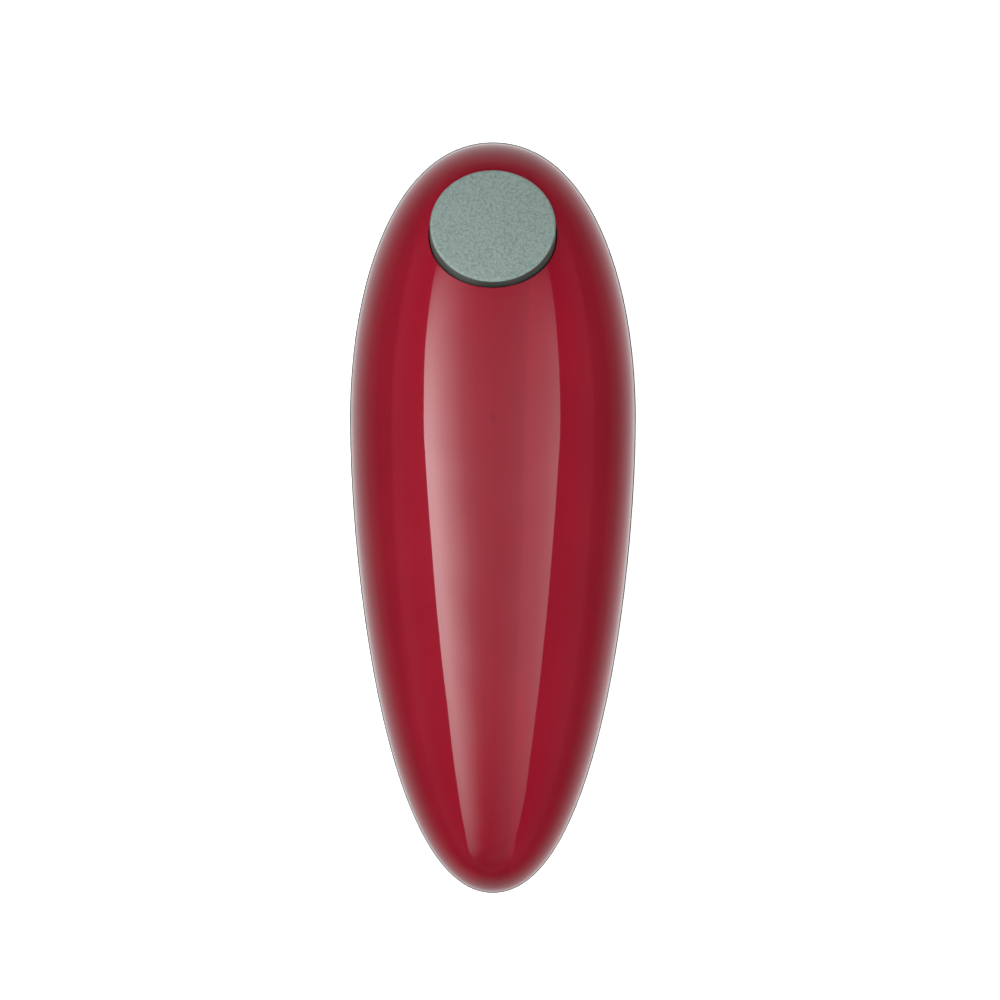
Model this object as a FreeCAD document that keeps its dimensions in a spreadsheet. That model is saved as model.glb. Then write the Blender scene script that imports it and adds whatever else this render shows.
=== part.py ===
import FreeCAD, Part
import math
import os
import re
from FreeCAD import Matrix, Placement, Rotation, Vector

# Hands-free electric can opener: an egg-shaped case with one push button, a motor with a gear train, a toothed
# drive wheel, a swinging cutter, a sprung lid magnet and four AA cells.  Millimetres; +Z up, +Y towards the wide
# head, origin under the middle of the case on the plane it rests on.

doc = FreeCAD.newDocument("can_opener")

SIZES = {
    # case
    "body_length": 200.0, "body_width": 76.2, "seam_height": 22.0, "dome_height": 38.0, "belly_depth": 34.0,
    "wall": 2.5, "seam_step": 0.25, "widest_from_head": 73.6, "head_roundness": 0.6625, "head_fullness": 0.519,
    "flank_fullness": 0.303, "tail_roundness": 0.756,
    "head_plane": 12.0, "guard_radius": 68.0, "guard_from_head": 9.0, "slip_gap": 0.05, "loose_gap": 0.2,
    # button and switch
    "button_radius": 16.7, "button_gap": 0.35, "button_tilt": 26.0, "button_from_head": 23.2,
    "button_sink": 28.4, "button_rise": 1.2, "button_crown": 0.7, "button_edge": 1.1, "button_skirt": 6.0,
    "button_wall": 1.6, "button_travel": 2.0, "collar_wall": 1.8, "collar_depth": 9.0, "bracket_depth": 13.0,
    "bracket_floor": 1.5, "post_radius": 2.5, "post_depth": 10.4, "plunger_radius": 1.75, "switch_top": 14.2,
    "switch_side": 6.2, "switch_height": 3.6, "board_thick": 1.6, "board_width": 18.0, "board_rear": 4.5,
    "board_front": 13.0, "button_spring_radius": 6.0, "button_spring_wire": 0.6,
    # mechanism axes
    "spindle_from_head": 38.0, "spindle_to_turret": 22.9, "cutter_throw": 7.0, "second_bearing": -95.0,
    "first_bearing": -130.0,
    # gears
    "fine_module": 0.5, "coarse_module": 0.8, "pinion_teeth": 12, "motor_wheel_teeth": 50, "middle_wheel_teeth": 50,
    "third_wheel_teeth": 48, "drive_teeth": 48, "clutch_teeth": 36, "pressure_angle": 25.0, "backlash": 0.06,
    "pin_radius": 1.0, "hub_radius": 2.6,
    "drive_gear_base": 18.0, "drive_gear_thick": 4.0, "clutch_gear_base": 23.0, "wheel_thick": 3.0,
    "third_wheel_base": 28.0, "second_wheel_base": 32.0, "first_wheel_base": 36.0,
    # plates and posts
    "plate_thick": 1.5, "base_half_width": 25.0, "base_rear_from_head": 76.0, "base_front_from_head": 25.0,
    "corner_radius": 8.0, "top_plate_base": 40.5, "top_plate_left": 24.0, "top_plate_right": 25.0,
    "top_plate_front_from_head": 49.0, "motor_plate_margin": 4.8, "plate_rear_margin": 0.6, "post_size": 2.4,
    # turret, cutter, drive wheel
    "turret_radius": 14.0, "turret_flange": 15.2, "turret_shaft_radius": 2.4, "keeper_radius": 16.0,
    "keeper_thick": 1.2, "cutter_radius": 9.0, "cutter_thick": 1.2, "cutter_bevel": 0.8, "cutter_base": 8.2,
    "cutter_pin_radius": 2.5,
    "drive_wheel_radius": 6.5, "drive_wheel_teeth": 26, "drive_wheel_tooth": 0.7, "drive_wheel_base": 7.9,
    "drive_wheel_thick": 3.6, "spindle_radius": 3.0, "bush_radius": 4.5, "bush_flange": 6.0, "bridge_base": 24.0,
    "bridge_half_span": 24.0, "bridge_leg": 2.4, "bridge_width": 10.0,
    # magnet
    "magnet_from_head": 13.0, "magnet_radius": 7.5, "magnet_thick": 2.0, "magnet_base": 6.2, "magnet_float": 2.5,
    "magnet_stem": 2.0, "magnet_ceiling": 15.0, "magnet_spring_wire": 0.6,
    # motor
    "motor_radius": 12.2, "motor_base": 3.2, "motor_face": 28.0, "motor_cap": 4.0, "motor_shaft_radius": 1.0,
    # cells and door
    "cell_radius": 7.25, "cell_length": 50.5, "cell_nub": 1.0, "cell_bottom": 3.7, "bay_gap": 0.6,
    "bay_from_head": 109.5, "bay_length": 56.0, "bay_wall": 1.2, "contact_thick": 0.4, "contact_spring_radius": 3.6,
    "contact_spring_wire": 0.6, "door_thick": 2.2, "hinge_radius": 1.2, "hinge_peg": 0.8, "hinge_reach": 0.9,
    "grip_half_width": 9.0, "grip_depth": 0.5,
    # case screws
    "screw_radius": 1.5, "screw_head": 2.8, "screw_head_thick": 2.0, "screw_length": 13.0, "screw_seat": 14.6,
    "boss_radius": 3.4, "head_boss_x": 17.0, "head_boss_from_head": 16.0, "head_boss_top": 32.0,
    "side_boss_x": 29.0, "side_boss_from_head": 92.0, "tail_boss_from_tail": 20.0,
}

sheet = doc.addObject("Spreadsheet::Sheet", "Sizes")
for row, (alias, value) in enumerate(SIZES.items(), start=1):
    sheet.set(f"A{row}", alias)
    sheet.set(f"B{row}", str(value))
    sheet.setAlias(f"B{row}", alias)
doc.recompute()

FUNCTIONS = {"sqrt", "cos", "sin", "deg"}


def rule(text):
    """An expression in sheet words, with each word pointed at the sheet that holds it."""
    def owner(match):
        word = match.group()
        if word in FUNCTIONS:
            return word
        return ("Layout." if word in LAYOUT else "Sizes.") + word
    return re.sub(r"[a-z][a-z_]*", owner, str(text))


# Positions that follow from the sizes: where every axis stands.
LAYOUT = {
    "head_end": "body_length / 2",
    "spindle_y": "head_end - spindle_from_head",
    "turret_y": "spindle_y - spindle_to_turret",
    "drive_reach": "coarse_module * (pinion_teeth + drive_teeth) / 2",
    "clutch_reach": "coarse_module * (pinion_teeth + clutch_teeth) / 2",
    "third_reach": "fine_module * (pinion_teeth + third_wheel_teeth) / 2",
    "middle_reach": "fine_module * (pinion_teeth + middle_wheel_teeth) / 2",
    "motor_reach": "fine_module * (pinion_teeth + motor_wheel_teeth) / 2",
    "third_up": "(spindle_to_turret ^ 2 + clutch_reach ^ 2 - drive_reach ^ 2) / (2 * spindle_to_turret)",
    "third_x": "sqrt(clutch_reach ^ 2 - third_up ^ 2)",
    "third_y": "turret_y + third_up",
    "second_x": "third_x + third_reach * cos(second_bearing * 1 deg)",
    "second_y": "third_y + third_reach * sin(second_bearing * 1 deg)",
    "first_x": "second_x + middle_reach * cos(first_bearing * 1 deg)",
    "first_y": "second_y + middle_reach * sin(first_bearing * 1 deg)",
    "motor_y": "first_y - sqrt(motor_reach ^ 2 - first_x ^ 2)",
    "button_y": "head_end - button_from_head",
    "button_z": "seam_height + button_sink",
    "button_hole": "button_radius + button_gap",
    "floor_top": "head_plane + wall",
    "magnet_y": "head_end - magnet_from_head",
    "bay_front": "head_end - bay_from_head",
    "bay_rear": "bay_front - bay_length",
    "bay_half": "2 * cell_radius + bay_gap",
    "cells_top": "cell_bottom + 4 * cell_radius + bay_gap",
    "hinge_y": "bay_front - loose_gap - hinge_radius",
    "guard_y": "head_end - guard_from_head",
    "head_boss_y": "head_end - head_boss_from_head",
    "side_boss_y": "head_end - side_boss_from_head",
    "tail_boss_y": "-head_end + tail_boss_from_tail",
    "plate_top": "floor_top + plate_thick",
}
layout = doc.addObject("Spreadsheet::Sheet", "Layout")
for row, (alias, formula) in enumerate(LAYOUT.items(), start=1):
    layout.set(f"A{row}", alias)
    layout.set(f"B{row}", "=" + rule(formula).replace("Layout.", ""))
    layout.setAlias(f"B{row}", alias)
    doc.recompute()


def size(name):
    """The number behind a name of either sheet."""
    return float(getattr(layout if name in LAYOUT else sheet, name))


# ---- small vocabulary of bound document objects ----

def bind(item, **rules):
    for prop, text in rules.items():
        item.setExpression(prop.replace("_", "."), rule(text))
    return item


def at(item, x=0, y=0, z=0):
    return bind(item, Placement_Base_x=x, Placement_Base_y=y, Placement_Base_z=z)


def cylinder(radius, low, high, x=0, y=0):
    item = doc.addObject("Part::Cylinder", "cylinder")
    bind(item, Radius=radius, Height=f"({high}) - ({low})")
    return at(item, x, y, low)


def crosswise(radius, left, right, y, z):
    """A round bar that lies along X."""
    item = doc.addObject("Part::Cylinder", "bar")
    item.Placement = Placement(Vector(), Rotation(Vector(0, 1, 0), 90))
    bind(item, Radius=radius, Height=f"({right}) - ({left})")
    return at(item, left, y, z)


def block(left, right, rear, front, low, high):
    item = doc.addObject("Part::Box", "block")
    bind(item, Length=f"({right}) - ({left})", Width=f"({front}) - ({rear})", Height=f"({high}) - ({low})")
    return at(item, left, rear, low)


def fuse(*items):
    if len(items) == 1:
        return items[0]
    item = doc.addObject("Part::MultiFuse", "fuse")
    item.Shapes = list(items)
    item.Refine = True
    return item


def common(first, *others):
    item = doc.addObject("Part::Common", "common")
    item.Base, item.Tool = first, fuse(*others)
    return item


def cut(base, *tools):
    item = doc.addObject("Part::Cut", "cut")
    item.Base, item.Tool = base, fuse(*tools)
    return item


def group(*items):
    item = doc.addObject("Part::Compound", "group")
    item.Links = list(items)
    return item


def feature(shape, x=0.0, y=0.0, z=0.0):
    """A shape worked out from the sheet, set down at a place."""
    item = doc.addObject("Part::Feature", "form")
    item.Shape = shape
    item.Placement = Placement(Vector(x, y, z), Rotation())
    return item


def tube(outer, inner, low, high, x=0, y=0):
    return cut(cylinder(outer, low, high, x, y), cylinder(inner, f"{low} - 1", f"{high} + 1", x, y))


def in_button_frame(item):
    """Local +Z along the button's axis, local origin where that axis leaves the dome."""
    item.Placement = Placement(Vector(), Rotation(Vector(1, 0, 0), -1))
    bind(item, Placement_Rotation_Angle="-button_tilt")
    return at(item, 0, "button_y", "button_z")


NODES = []


def node(item, name):
    item.Label = name
    NODES.append(item)
    return item


# ---- forms ----

def egg_half(inset, depth, up):
    """Upper or lower half of the egg, drawn in by `inset`, its seam face on z = 0 before placing."""
    half, end = size("body_width") / 2 - inset, size("body_length") / 2 - inset
    widest = size("body_length") / 2 - size("widest_from_head")
    nose, flank = Part.BezierCurve(), Part.BezierCurve()
    nose.setPoles([Vector(0, end, 0), Vector(size("head_roundness") * half, end, 0),
                   Vector(half, widest + size("head_fullness") * (end - widest), 0), Vector(half, widest, 0)])
    flank.setPoles([Vector(half, widest, 0), Vector(half, widest - size("flank_fullness") * (end + widest), 0),
                    Vector(size("tail_roundness") * half, -end, 0), Vector(0, -end, 0)])
    outline = Part.Wire([nose.toShape(), flank.toShape(), Part.makeLine(Vector(0, -end, 0), Vector(0, end, 0))])
    solid = Part.Face(outline).revolve(Vector(), Vector(0, 1, 0), -180 if up else 180)
    flatten = Matrix()
    flatten.scale(1, 1, depth / half)
    return feature(solid.transformGeometry(flatten), z=size("seam_height"))


def gear(module, teeth, phase, thick):
    """A spur gear with involute flanks; `phase` is the direction of one tooth, in degrees."""
    pitch, slope = module * teeth / 2, math.radians(size("pressure_angle"))
    base, tip, root = pitch * math.cos(slope), pitch + module, pitch - 1.25 * module
    half_tooth = math.pi / (2 * teeth) - size("backlash") / (2 * pitch) + math.tan(slope) - slope

    def flank(radius):
        lean = math.acos(min(1.0, base / radius))
        return half_tooth - math.tan(lean) + lean

    def spot(radius, angle):
        return Vector(radius * math.cos(angle), radius * math.sin(angle), 0)

    start = max(base, root)
    steps = [start + (tip - start) * share for share in (0, 0.15, 0.5, 1)]
    edges = []
    for index in range(int(teeth)):
        middle = math.radians(phase) + 2 * math.pi * index / teeth
        following = middle + 2 * math.pi / teeth
        rising, falling = Part.BSplineCurve(), Part.BSplineCurve()
        rising.interpolate([spot(r, middle - flank(r)) for r in steps])
        falling.interpolate([spot(r, middle + flank(r)) for r in reversed(steps)])
        foot = flank(start)
        if root < start:
            edges.append(Part.makeLine(spot(root, middle - foot), spot(start, middle - foot)))
        edges.append(rising.toShape())
        edges.append(Part.Arc(spot(tip, middle - flank(tip)), spot(tip, middle), spot(tip, middle + flank(tip))).toShape())
        edges.append(falling.toShape())
        if root < start:
            edges.append(Part.makeLine(spot(start, middle + foot), spot(root, middle + foot)))
        edges.append(Part.Arc(spot(root, middle + foot), spot(root, (middle + following) / 2),
                              spot(root, following - foot)).toShape())
    return Part.Face(Part.Wire(edges)).extrude(Vector(0, 0, thick))


def meshed(direction, phase, teeth, other_teeth):
    """Phase of a gear that lies in `direction` from another and falls tooth to gap with it."""
    share = (direction - phase) / (360 / teeth)
    return direction + 180 - (0.5 - share) * 360 / other_teeth


def raised(solid, height):
    """A copy of a solid whose own geometry stands higher."""
    lift = Matrix()
    lift.move(0, 0, height)
    return solid.transformed(lift, True)


def coil(radius, wire, low, high, turns):
    """A spring of six-sided wire between two heights, closed face to face."""
    rise, stations, sides = high - low - 2 * wire, 14 * turns, 6
    rings = []
    for station in range(stations + 1):
        turn = 2 * math.pi * turns * station / stations
        out = Vector(math.cos(turn), math.sin(turn), 0)
        middle = out * radius + Vector(0, 0, low + wire + rise * station / stations)
        corners = [2 * math.pi * side / sides for side in range(sides)]
        rings.append([middle + out * (wire * math.cos(c)) + Vector(0, 0, wire * math.sin(c)) for c in corners])
    faces = [Part.Face(Part.makePolygon(ring + ring[:1])) for ring in (rings[0], rings[-1])]
    for ring, following in zip(rings, rings[1:]):
        for side in range(sides):
            after = (side + 1) % sides
            for corners in ((ring[side], ring[after], following[after]),
                            (ring[side], following[after], following[side])):
                faces.append(Part.Face(Part.makePolygon([*corners, corners[0]])))
    solid = Part.Solid(Part.Shell(faces))
    return solid if solid.Volume > 0 else solid.reversed()


def lathe(points):
    """A solid turned about Z from (radius, height) corners."""
    corners = [Vector(radius, 0, height) for radius, height in points]
    return Part.Face(Part.makePolygon(corners + corners[:1])).revolve(Vector(), Vector(0, 0, 1), 360)


# ---- case: dome, lower housing, screws ----

bosses = [("head_boss_x", "head_boss_y"), ("-head_boss_x", "head_boss_y"), ("side_boss_x", "side_boss_y"),
          ("-side_boss_x", "side_boss_y"), ("0", "tail_boss_y")]

step, wall = size("seam_step"), size("wall")
dome_skin = egg_half(step, size("dome_height"), True)
dome_hollow = egg_half(step + wall, size("dome_height") - wall, True)
collar = in_button_frame(cylinder("button_hole + collar_wall", "-collar_depth", "collar_depth"))
bind(collar, Placement_Base_y=f"button_y - collar_depth * sin(button_tilt * 1 deg)",
     Placement_Base_z="button_z - collar_depth * cos(button_tilt * 1 deg)")
hole = in_button_frame(cylinder("button_hole", "0", "60"))
bind(hole, Placement_Base_y="button_y - 30 * sin(button_tilt * 1 deg)",
     Placement_Base_z="button_z - 30 * cos(button_tilt * 1 deg)")
dome_bosses = [cylinder("boss_radius", "seam_height", "head_boss_top" if "head" in y else "seam_height + dome_height",
                        x, y) for x, y in bosses]
pilots = [cylinder("screw_radius", "seam_height - 1", "screw_seat + screw_length + 0.5", x, y) for x, y in bosses]
node(cut(fuse(cut(dome_skin, dome_hollow), common(fuse(collar, *dome_bosses), dome_skin)), hole, *pilots), "top_shell")

belly_skin = egg_half(0, size("belly_depth"), False)
belly_hollow = egg_half(wall, size("belly_depth") - wall, False)
slab = block("-body_width", "body_width", "-body_length", "body_length", "0", "seam_height")
belly = common(belly_skin, slab)
cavity = cut(common(belly_hollow, block("-body_width", "body_width", "-body_length", "body_length", "wall",
                                        "seam_height")),
             cylinder("guard_radius + wall", "-1", "floor_top", 0, "guard_y"))
bay = block("-bay_half - bay_wall", "bay_half + bay_wall", "bay_rear - bay_wall", "bay_front + bay_wall", "0",
            "cells_top + bay_wall")
bay_low = common(bay, belly)
bay_high = block("-bay_half - bay_wall", "bay_half + bay_wall", "bay_rear - bay_wall", "bay_front + bay_wall",
                 "seam_height", "cells_top + bay_wall")
pocket_wall = cylinder("magnet_radius + 2.3", "head_plane", "magnet_ceiling + 1.4", 0, "magnet_y")
floor_holes = [
    cylinder("guard_radius", "-1", "head_plane", 0, "guard_y"),
    cylinder("turret_radius + slip_gap + 0.05", "head_plane - 1", "floor_top + 1", 0, "turret_y"),
    cylinder("bush_radius", "head_plane - 1", "floor_top + 1", 0, "spindle_y"),
    cylinder("magnet_radius + 0.9", "head_plane - 1", "magnet_ceiling", 0, "magnet_y"),
    cylinder("magnet_stem + 0.1", "magnet_ceiling - 1", "magnet_ceiling + 2", 0, "magnet_y"),
    block("-bay_half", "bay_half", "bay_rear", "bay_front", "-1", "cells_top"),
    crosswise("hinge_peg + slip_gap", "-bay_half - hinge_reach - slip_gap", "bay_half + hinge_reach + slip_gap",
              "hinge_y", "hinge_radius"),
]
for x, y in bosses:
    floor_holes.append(cylinder("screw_head + loose_gap", "-1", "screw_seat", x, y))
    floor_holes.append(cylinder("screw_radius + loose_gap", "0", "seam_height + 1", x, y))
posts = common(fuse(*[cylinder("boss_radius", "0", "seam_height", x, y) for x, y in bosses]), belly)
node(cut(fuse(cut(belly, cavity), posts, bay_low, bay_high, pocket_wall), *floor_holes), "lower_housing")

screws = [fuse(cylinder("screw_head", "screw_seat - screw_head_thick", "screw_seat", x, y),
               cylinder("screw_radius", "screw_seat - 0.1", "screw_seat + screw_length", x, y)) for x, y in bosses]
drives = [fuse(*[block(f"{x} - {a}", f"{x} + {a}", f"{y} - {b}", f"{y} + {b}", "screw_seat - screw_head_thick - 1",
                       "screw_seat - screw_head_thick + 1.1") for a, b in ((0.4, 1.6), (1.6, 0.4))])
          for x, y in bosses]
node(group(*[cut(screw, drive) for screw, drive in zip(screws, drives)]), "housing_screws")

# ---- button, its spring and the switch, all on the tilted axis ----

rim = size("button_radius")
rise, edge, crown = size("button_rise"), size("button_edge"), size("button_crown")
skirt, skin = size("button_skirt"), size("button_wall")
crown_radius = ((rim - edge) ** 2 + crown ** 2) / (2 * crown)
crown_middle = rise + crown - crown_radius + math.sqrt(crown_radius ** 2 - ((rim - edge) / 2) ** 2)
profile = Part.Wire([
    Part.makeLine(Vector(0, 0, -size("post_depth")), Vector(size("post_radius"), 0, -size("post_depth"))),
    Part.makeLine(Vector(size("post_radius"), 0, -size("post_depth")), Vector(size("post_radius"), 0, rise - 1.9)),
    Part.makeLine(Vector(size("post_radius"), 0, rise - 1.9), Vector(rim - skin, 0, rise - 1.9)),
    Part.makeLine(Vector(rim - skin, 0, rise - 1.9), Vector(rim - skin, 0, -skirt)),
    Part.makeLine(Vector(rim - skin, 0, -skirt), Vector(rim, 0, -skirt)),
    Part.makeLine(Vector(rim, 0, -skirt), Vector(rim, 0, rise - edge)),
    Part.Arc(Vector(rim, 0, rise - edge), Vector(rim - 0.293 * edge, 0, rise - 0.293 * edge),
             Vector(rim - edge, 0, rise)).toShape(),
    Part.Arc(Vector(rim - edge, 0, rise), Vector((rim - edge) / 2, 0, crown_middle),
             Vector(0, 0, rise + crown)).toShape(),
    Part.makeLine(Vector(0, 0, rise + crown), Vector(0, 0, -size("post_depth"))),
])
node(in_button_frame(feature(Part.Face(profile).revolve(Vector(), Vector(0, 0, 1), 360))), "button_cap")

spring_foot, spring_top = -size("bracket_depth") + size("bracket_floor"), rise - 1.9
spring = coil(size("button_spring_radius"), size("button_spring_wire") / 2, spring_foot, spring_top, 5)
node(in_button_frame(feature(spring)), "button_spring")

bracket_outer = size("button_hole") + size("collar_wall")
bracket = lathe([(size("plunger_radius") + 1.6, -size("bracket_depth")), (bracket_outer, -size("bracket_depth")),
                 (bracket_outer, -size("collar_depth")), (bracket_outer - 1.5, -size("collar_depth")),
                 (bracket_outer - 1.5, spring_foot), (size("plunger_radius") + 1.6, spring_foot)])
board_top = size("switch_top") + size("switch_height")
ties = [Part.makeCylinder(1.6, board_top - size("bracket_depth"), Vector(x, 7.5, -board_top)) for x in (-6.5, 6.5)]
node(in_button_frame(feature(bracket.fuse(ties).removeSplitter())), "switch_bracket")
board = Part.makeBox(size("board_width"), size("board_front") + size("board_rear"), size("board_thick"),
                     Vector(-size("board_width") / 2, -size("board_rear"), -board_top - size("board_thick")))
node(in_button_frame(feature(board)), "switch_board")
side, bore = size("switch_side"), size("plunger_radius") + size("slip_gap")
tact = Part.makeBox(side, side, size("switch_height"), Vector(-side / 2, -side / 2, -board_top))
tact = tact.cut(Part.makeCylinder(bore, 3.0, Vector(0, 0, -size("switch_top") - 2.9)))
node(in_button_frame(feature(tact)), "switch_body")
stem_top = size("post_depth") + size("slip_gap")
node(in_button_frame(feature(Part.makeCylinder(size("plunger_radius"), size("switch_top") + 0.7 - stem_top,
                                               Vector(0, 0, -size("switch_top") - 0.7)))), "switch_plunger")

# ---- gearbox plates, posts and pins ----

rounded = size("corner_radius")


def plate(left, right, rear, front, low):
    """A stamped plate with round corners."""
    sheet_metal = block(left, right, rear, front, low, f"{low} + plate_thick")
    item = doc.addObject("Part::Fillet", "rounded")
    item.Base = sheet_metal
    doc.recompute()
    upright = [number + 1 for number, line in enumerate(sheet_metal.Shape.Edges)
               if abs(line.tangentAt(line.FirstParameter).z) > 0.99]
    item.Edges = [(number, rounded, rounded) for number in upright]
    return item


node(cut(plate("-base_half_width", "base_half_width", "head_end - base_rear_from_head",
               "head_end - base_front_from_head", "floor_top"),
         cylinder("turret_flange + 0.15", "floor_top - 1", "floor_top + 3", 0, "turret_y"),
         cylinder("bush_flange + loose_gap", "floor_top - 1", "floor_top + 3", 0, "spindle_y"),
         cylinder("pin_radius", "floor_top - 1", "floor_top + 3", "third_x", "third_y"),
         cylinder("pin_radius", "floor_top - 1", "floor_top + 3", "second_x", "second_y")), "base_plate")
node(cut(plate("-top_plate_left", "top_plate_right", "motor_y - motor_radius - plate_rear_margin",
               "head_end - top_plate_front_from_head", "top_plate_base"),
         *[cylinder("pin_radius", "top_plate_base - 1", "top_plate_base + 3", f"{axis}_x", f"{axis}_y")
           for axis in ("first", "second", "third")]), "top_plate")
node(cut(plate("-motor_radius - motor_plate_margin", "motor_radius + motor_plate_margin",
               "motor_y - motor_radius - plate_rear_margin", "motor_y + motor_radius + motor_plate_margin + 2",
               "motor_face"),
         cylinder("3.2", "motor_face - 1", "motor_face + 3", 0, "motor_y"),
         cylinder("pin_radius", "motor_face - 1", "motor_face + 3", "first_x", "first_y")), "motor_plate")
node(group(*[cylinder("post_size", "plate_top", "top_plate_base", "-top_plate_left + 4", y)
             for y in ("turret_y + 9", "turret_y - 11")]), "gearbox_posts")
motor_posts = [("-motor_radius - 1.5", "motor_y + motor_radius + 2"), ("-motor_radius - 1.5", "motor_y - 6"),
               ("motor_radius + 1.5", "motor_y - 6")]
node(group(*[cylinder("post_size", "motor_face + plate_thick", "top_plate_base", x, y) for x, y in motor_posts]),
     "motor_posts")
post_spots = [("-top_plate_left + 4", "turret_y + 9"), ("-top_plate_left + 4", "turret_y - 11")] + motor_posts
node(group(*[cylinder("post_size - 0.2", "top_plate_base + plate_thick", "top_plate_base + plate_thick + 1.6", x, y)
             for x, y in post_spots],
           *[cylinder("post_size - 0.2", "plate_top", "plate_top + 1.2", x, y)
             for x, y in (("-base_half_width + 4", "spindle_y + 8"), ("base_half_width - 4", "spindle_y + 8"))]),
     "gearbox_screws")
for axis, low in (("first", "motor_face"), ("second", "floor_top"), ("third", "floor_top")):
    node(cylinder("pin_radius", low, "top_plate_base + plate_thick", f"{axis}_x", f"{axis}_y"), f"{axis}_gear_pin")

# ---- motor ----

node(tube("motor_radius", "motor_shaft_radius + 0.8", "motor_base + motor_cap", "motor_face", 0, "motor_y"),
     "motor_can")
terminals = [block(x, f"{x} + 2.4", "motor_y - 0.3", "motor_y + 0.3", "motor_base - 0.6", "motor_base + 0.1")
             for x in ("-motor_radius + 2", "motor_radius - 4.4")]
node(fuse(tube("motor_radius - 0.6", "motor_shaft_radius + slip_gap", "motor_base", "motor_base + motor_cap", 0,
               "motor_y"), *terminals), "motor_end_cap")
node(cylinder("motor_shaft_radius", "motor_base + 0.8", "first_wheel_base + wheel_thick + 0.8", 0, "motor_y"),
     "motor_shaft")

# ---- gear train: every shaft stands upright, tooth to gap with the one before ----

pinion, module, coarse = size("pinion_teeth"), size("fine_module"), size("coarse_module")
spots = {axis: (size(f"{axis}_x"), size(f"{axis}_y")) for axis in ("first", "second", "third")}
spots.update(motor=(0.0, size("motor_y")), spindle=(0.0, size("spindle_y")), turret=(0.0, size("turret_y")))


def bearing(here, there):
    """Direction from one axis to another, in degrees."""
    (x, y), (to_x, to_y) = spots[here], spots[there]
    return math.degrees(math.atan2(to_y - y, to_x - x))


thick = size("wheel_thick")
pin_bore = size("pin_radius") + size("slip_gap")


def bored(solid, radius, low, high):
    return solid.cut(Part.makeCylinder(radius, high - low + 2, Vector(0, 0, low - 1)))


def toothed(module_size, teeth, phase, low, high):
    return raised(gear(module_size, teeth, phase, high - low), low)


def lightened(solid, pitch_radius, hub, low, high, count=5):
    """Round windows that take weight out of a wheel."""
    middle, radius = (pitch_radius + hub) / 2, (pitch_radius - hub) * 0.27
    holes = [Part.makeCylinder(radius, high - low + 2,
                               Vector(middle * math.cos(2 * math.pi * k / count),
                                      middle * math.sin(2 * math.pi * k / count), low - 1)) for k in range(count)]
    return solid.cut(holes)


def train_gear(name, axis, wheel_teeth, wheel_phase, wheel_low, pinion_low, pinion_module, foot):
    """A wheel and its pinion in one moulding, with a hub that stands on the plate below."""
    wheel = toothed(module, wheel_teeth, wheel_phase, wheel_low, wheel_low + thick)
    wheel = lightened(wheel, module * wheel_teeth / 2, size("hub_radius") + 1.5, wheel_low, wheel_low + thick)
    small = toothed(pinion_module, pinion, 0.0, pinion_low, wheel_low)
    hub = Part.makeCylinder(size("hub_radius") * 0.85, wheel_low + thick + 0.3 - foot, Vector(0, 0, foot))
    solid = bored(wheel.fuse([small, hub]), pin_bore, foot, wheel_low + thick + 1)
    node(feature(solid, *spots[axis]), name)


first_base, second_base, third_base = size("first_wheel_base"), size("second_wheel_base"), size("third_wheel_base")
motor_pinion = bored(toothed(module, pinion, 0.0, first_base, first_base + thick)
                     .fuse(Part.makeCylinder(2.2, 1.2, Vector(0, 0, first_base - 1.2))),
                     size("motor_shaft_radius"), first_base - 2, first_base + thick)
node(feature(motor_pinion, *spots["motor"]), "motor_pinion")
train_gear("first_gear", "first", size("motor_wheel_teeth"),
           meshed(bearing("motor", "first"), 0.0, pinion, size("motor_wheel_teeth")), first_base, second_base,
           module, size("motor_face") + size("plate_thick") + 0.3)
train_gear("second_gear", "second", size("middle_wheel_teeth"),
           meshed(bearing("first", "second"), 0.0, pinion, size("middle_wheel_teeth")), second_base, third_base,
           module, size("plate_top") + 0.3)
train_gear("third_gear", "third", size("third_wheel_teeth"),
           meshed(bearing("second", "third"), 0.0, pinion, size("third_wheel_teeth")), third_base,
           size("drive_gear_base") - 0.5, coarse, size("plate_top") + 0.3)

drive_low, drive_high = size("drive_gear_base"), size("drive_gear_base") + size("drive_gear_thick")
drive = toothed(coarse, size("drive_teeth"), meshed(bearing("third", "spindle"), 0.0, pinion, size("drive_teeth")),
                drive_low, drive_high)
drive = lightened(drive, coarse * size("drive_teeth") / 2, 6.5, drive_low, drive_high, 6)
node(feature(bored(drive, size("spindle_radius"), drive_low, drive_high), *spots["spindle"]), "drive_gear")
clutch_low = size("clutch_gear_base")
clutch = toothed(coarse, size("clutch_teeth"), meshed(bearing("third", "turret"), 0.0, pinion, size("clutch_teeth")),
                 clutch_low, clutch_low + thick)
node(feature(bored(clutch, size("turret_shaft_radius") + size("slip_gap"), clutch_low, clutch_low + thick),
             *spots["turret"]), "clutch_gear")

# ---- drive spindle and toothed drive wheel ----

node(cylinder("spindle_radius", "drive_wheel_base", "bridge_base + plate_thick + 0.8", 0, "spindle_y"),
     "drive_spindle")
bush = fuse(cylinder("bush_radius", "head_plane - 0.2", "floor_top", 0, "spindle_y"),
            cylinder("bush_flange", "floor_top", "drive_gear_base - 0.3", 0, "spindle_y"))
node(cut(bush, cylinder("spindle_radius + slip_gap", "head_plane - 2", "drive_gear_base + 1", 0, "spindle_y")),
     "spindle_bush")
span = ("-bridge_half_span", "bridge_half_span", "spindle_y - bridge_width / 2", "spindle_y + bridge_width / 2")
node(cut(block(*span, "plate_top", "bridge_base + plate_thick"),
         block("-bridge_half_span + bridge_leg", "bridge_half_span - bridge_leg", *span[2:], "plate_top - 1",
               "bridge_base"),
         cylinder("spindle_radius + slip_gap", "bridge_base - 1", "bridge_base + 4", 0, "spindle_y")),
     "spindle_bridge")

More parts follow.
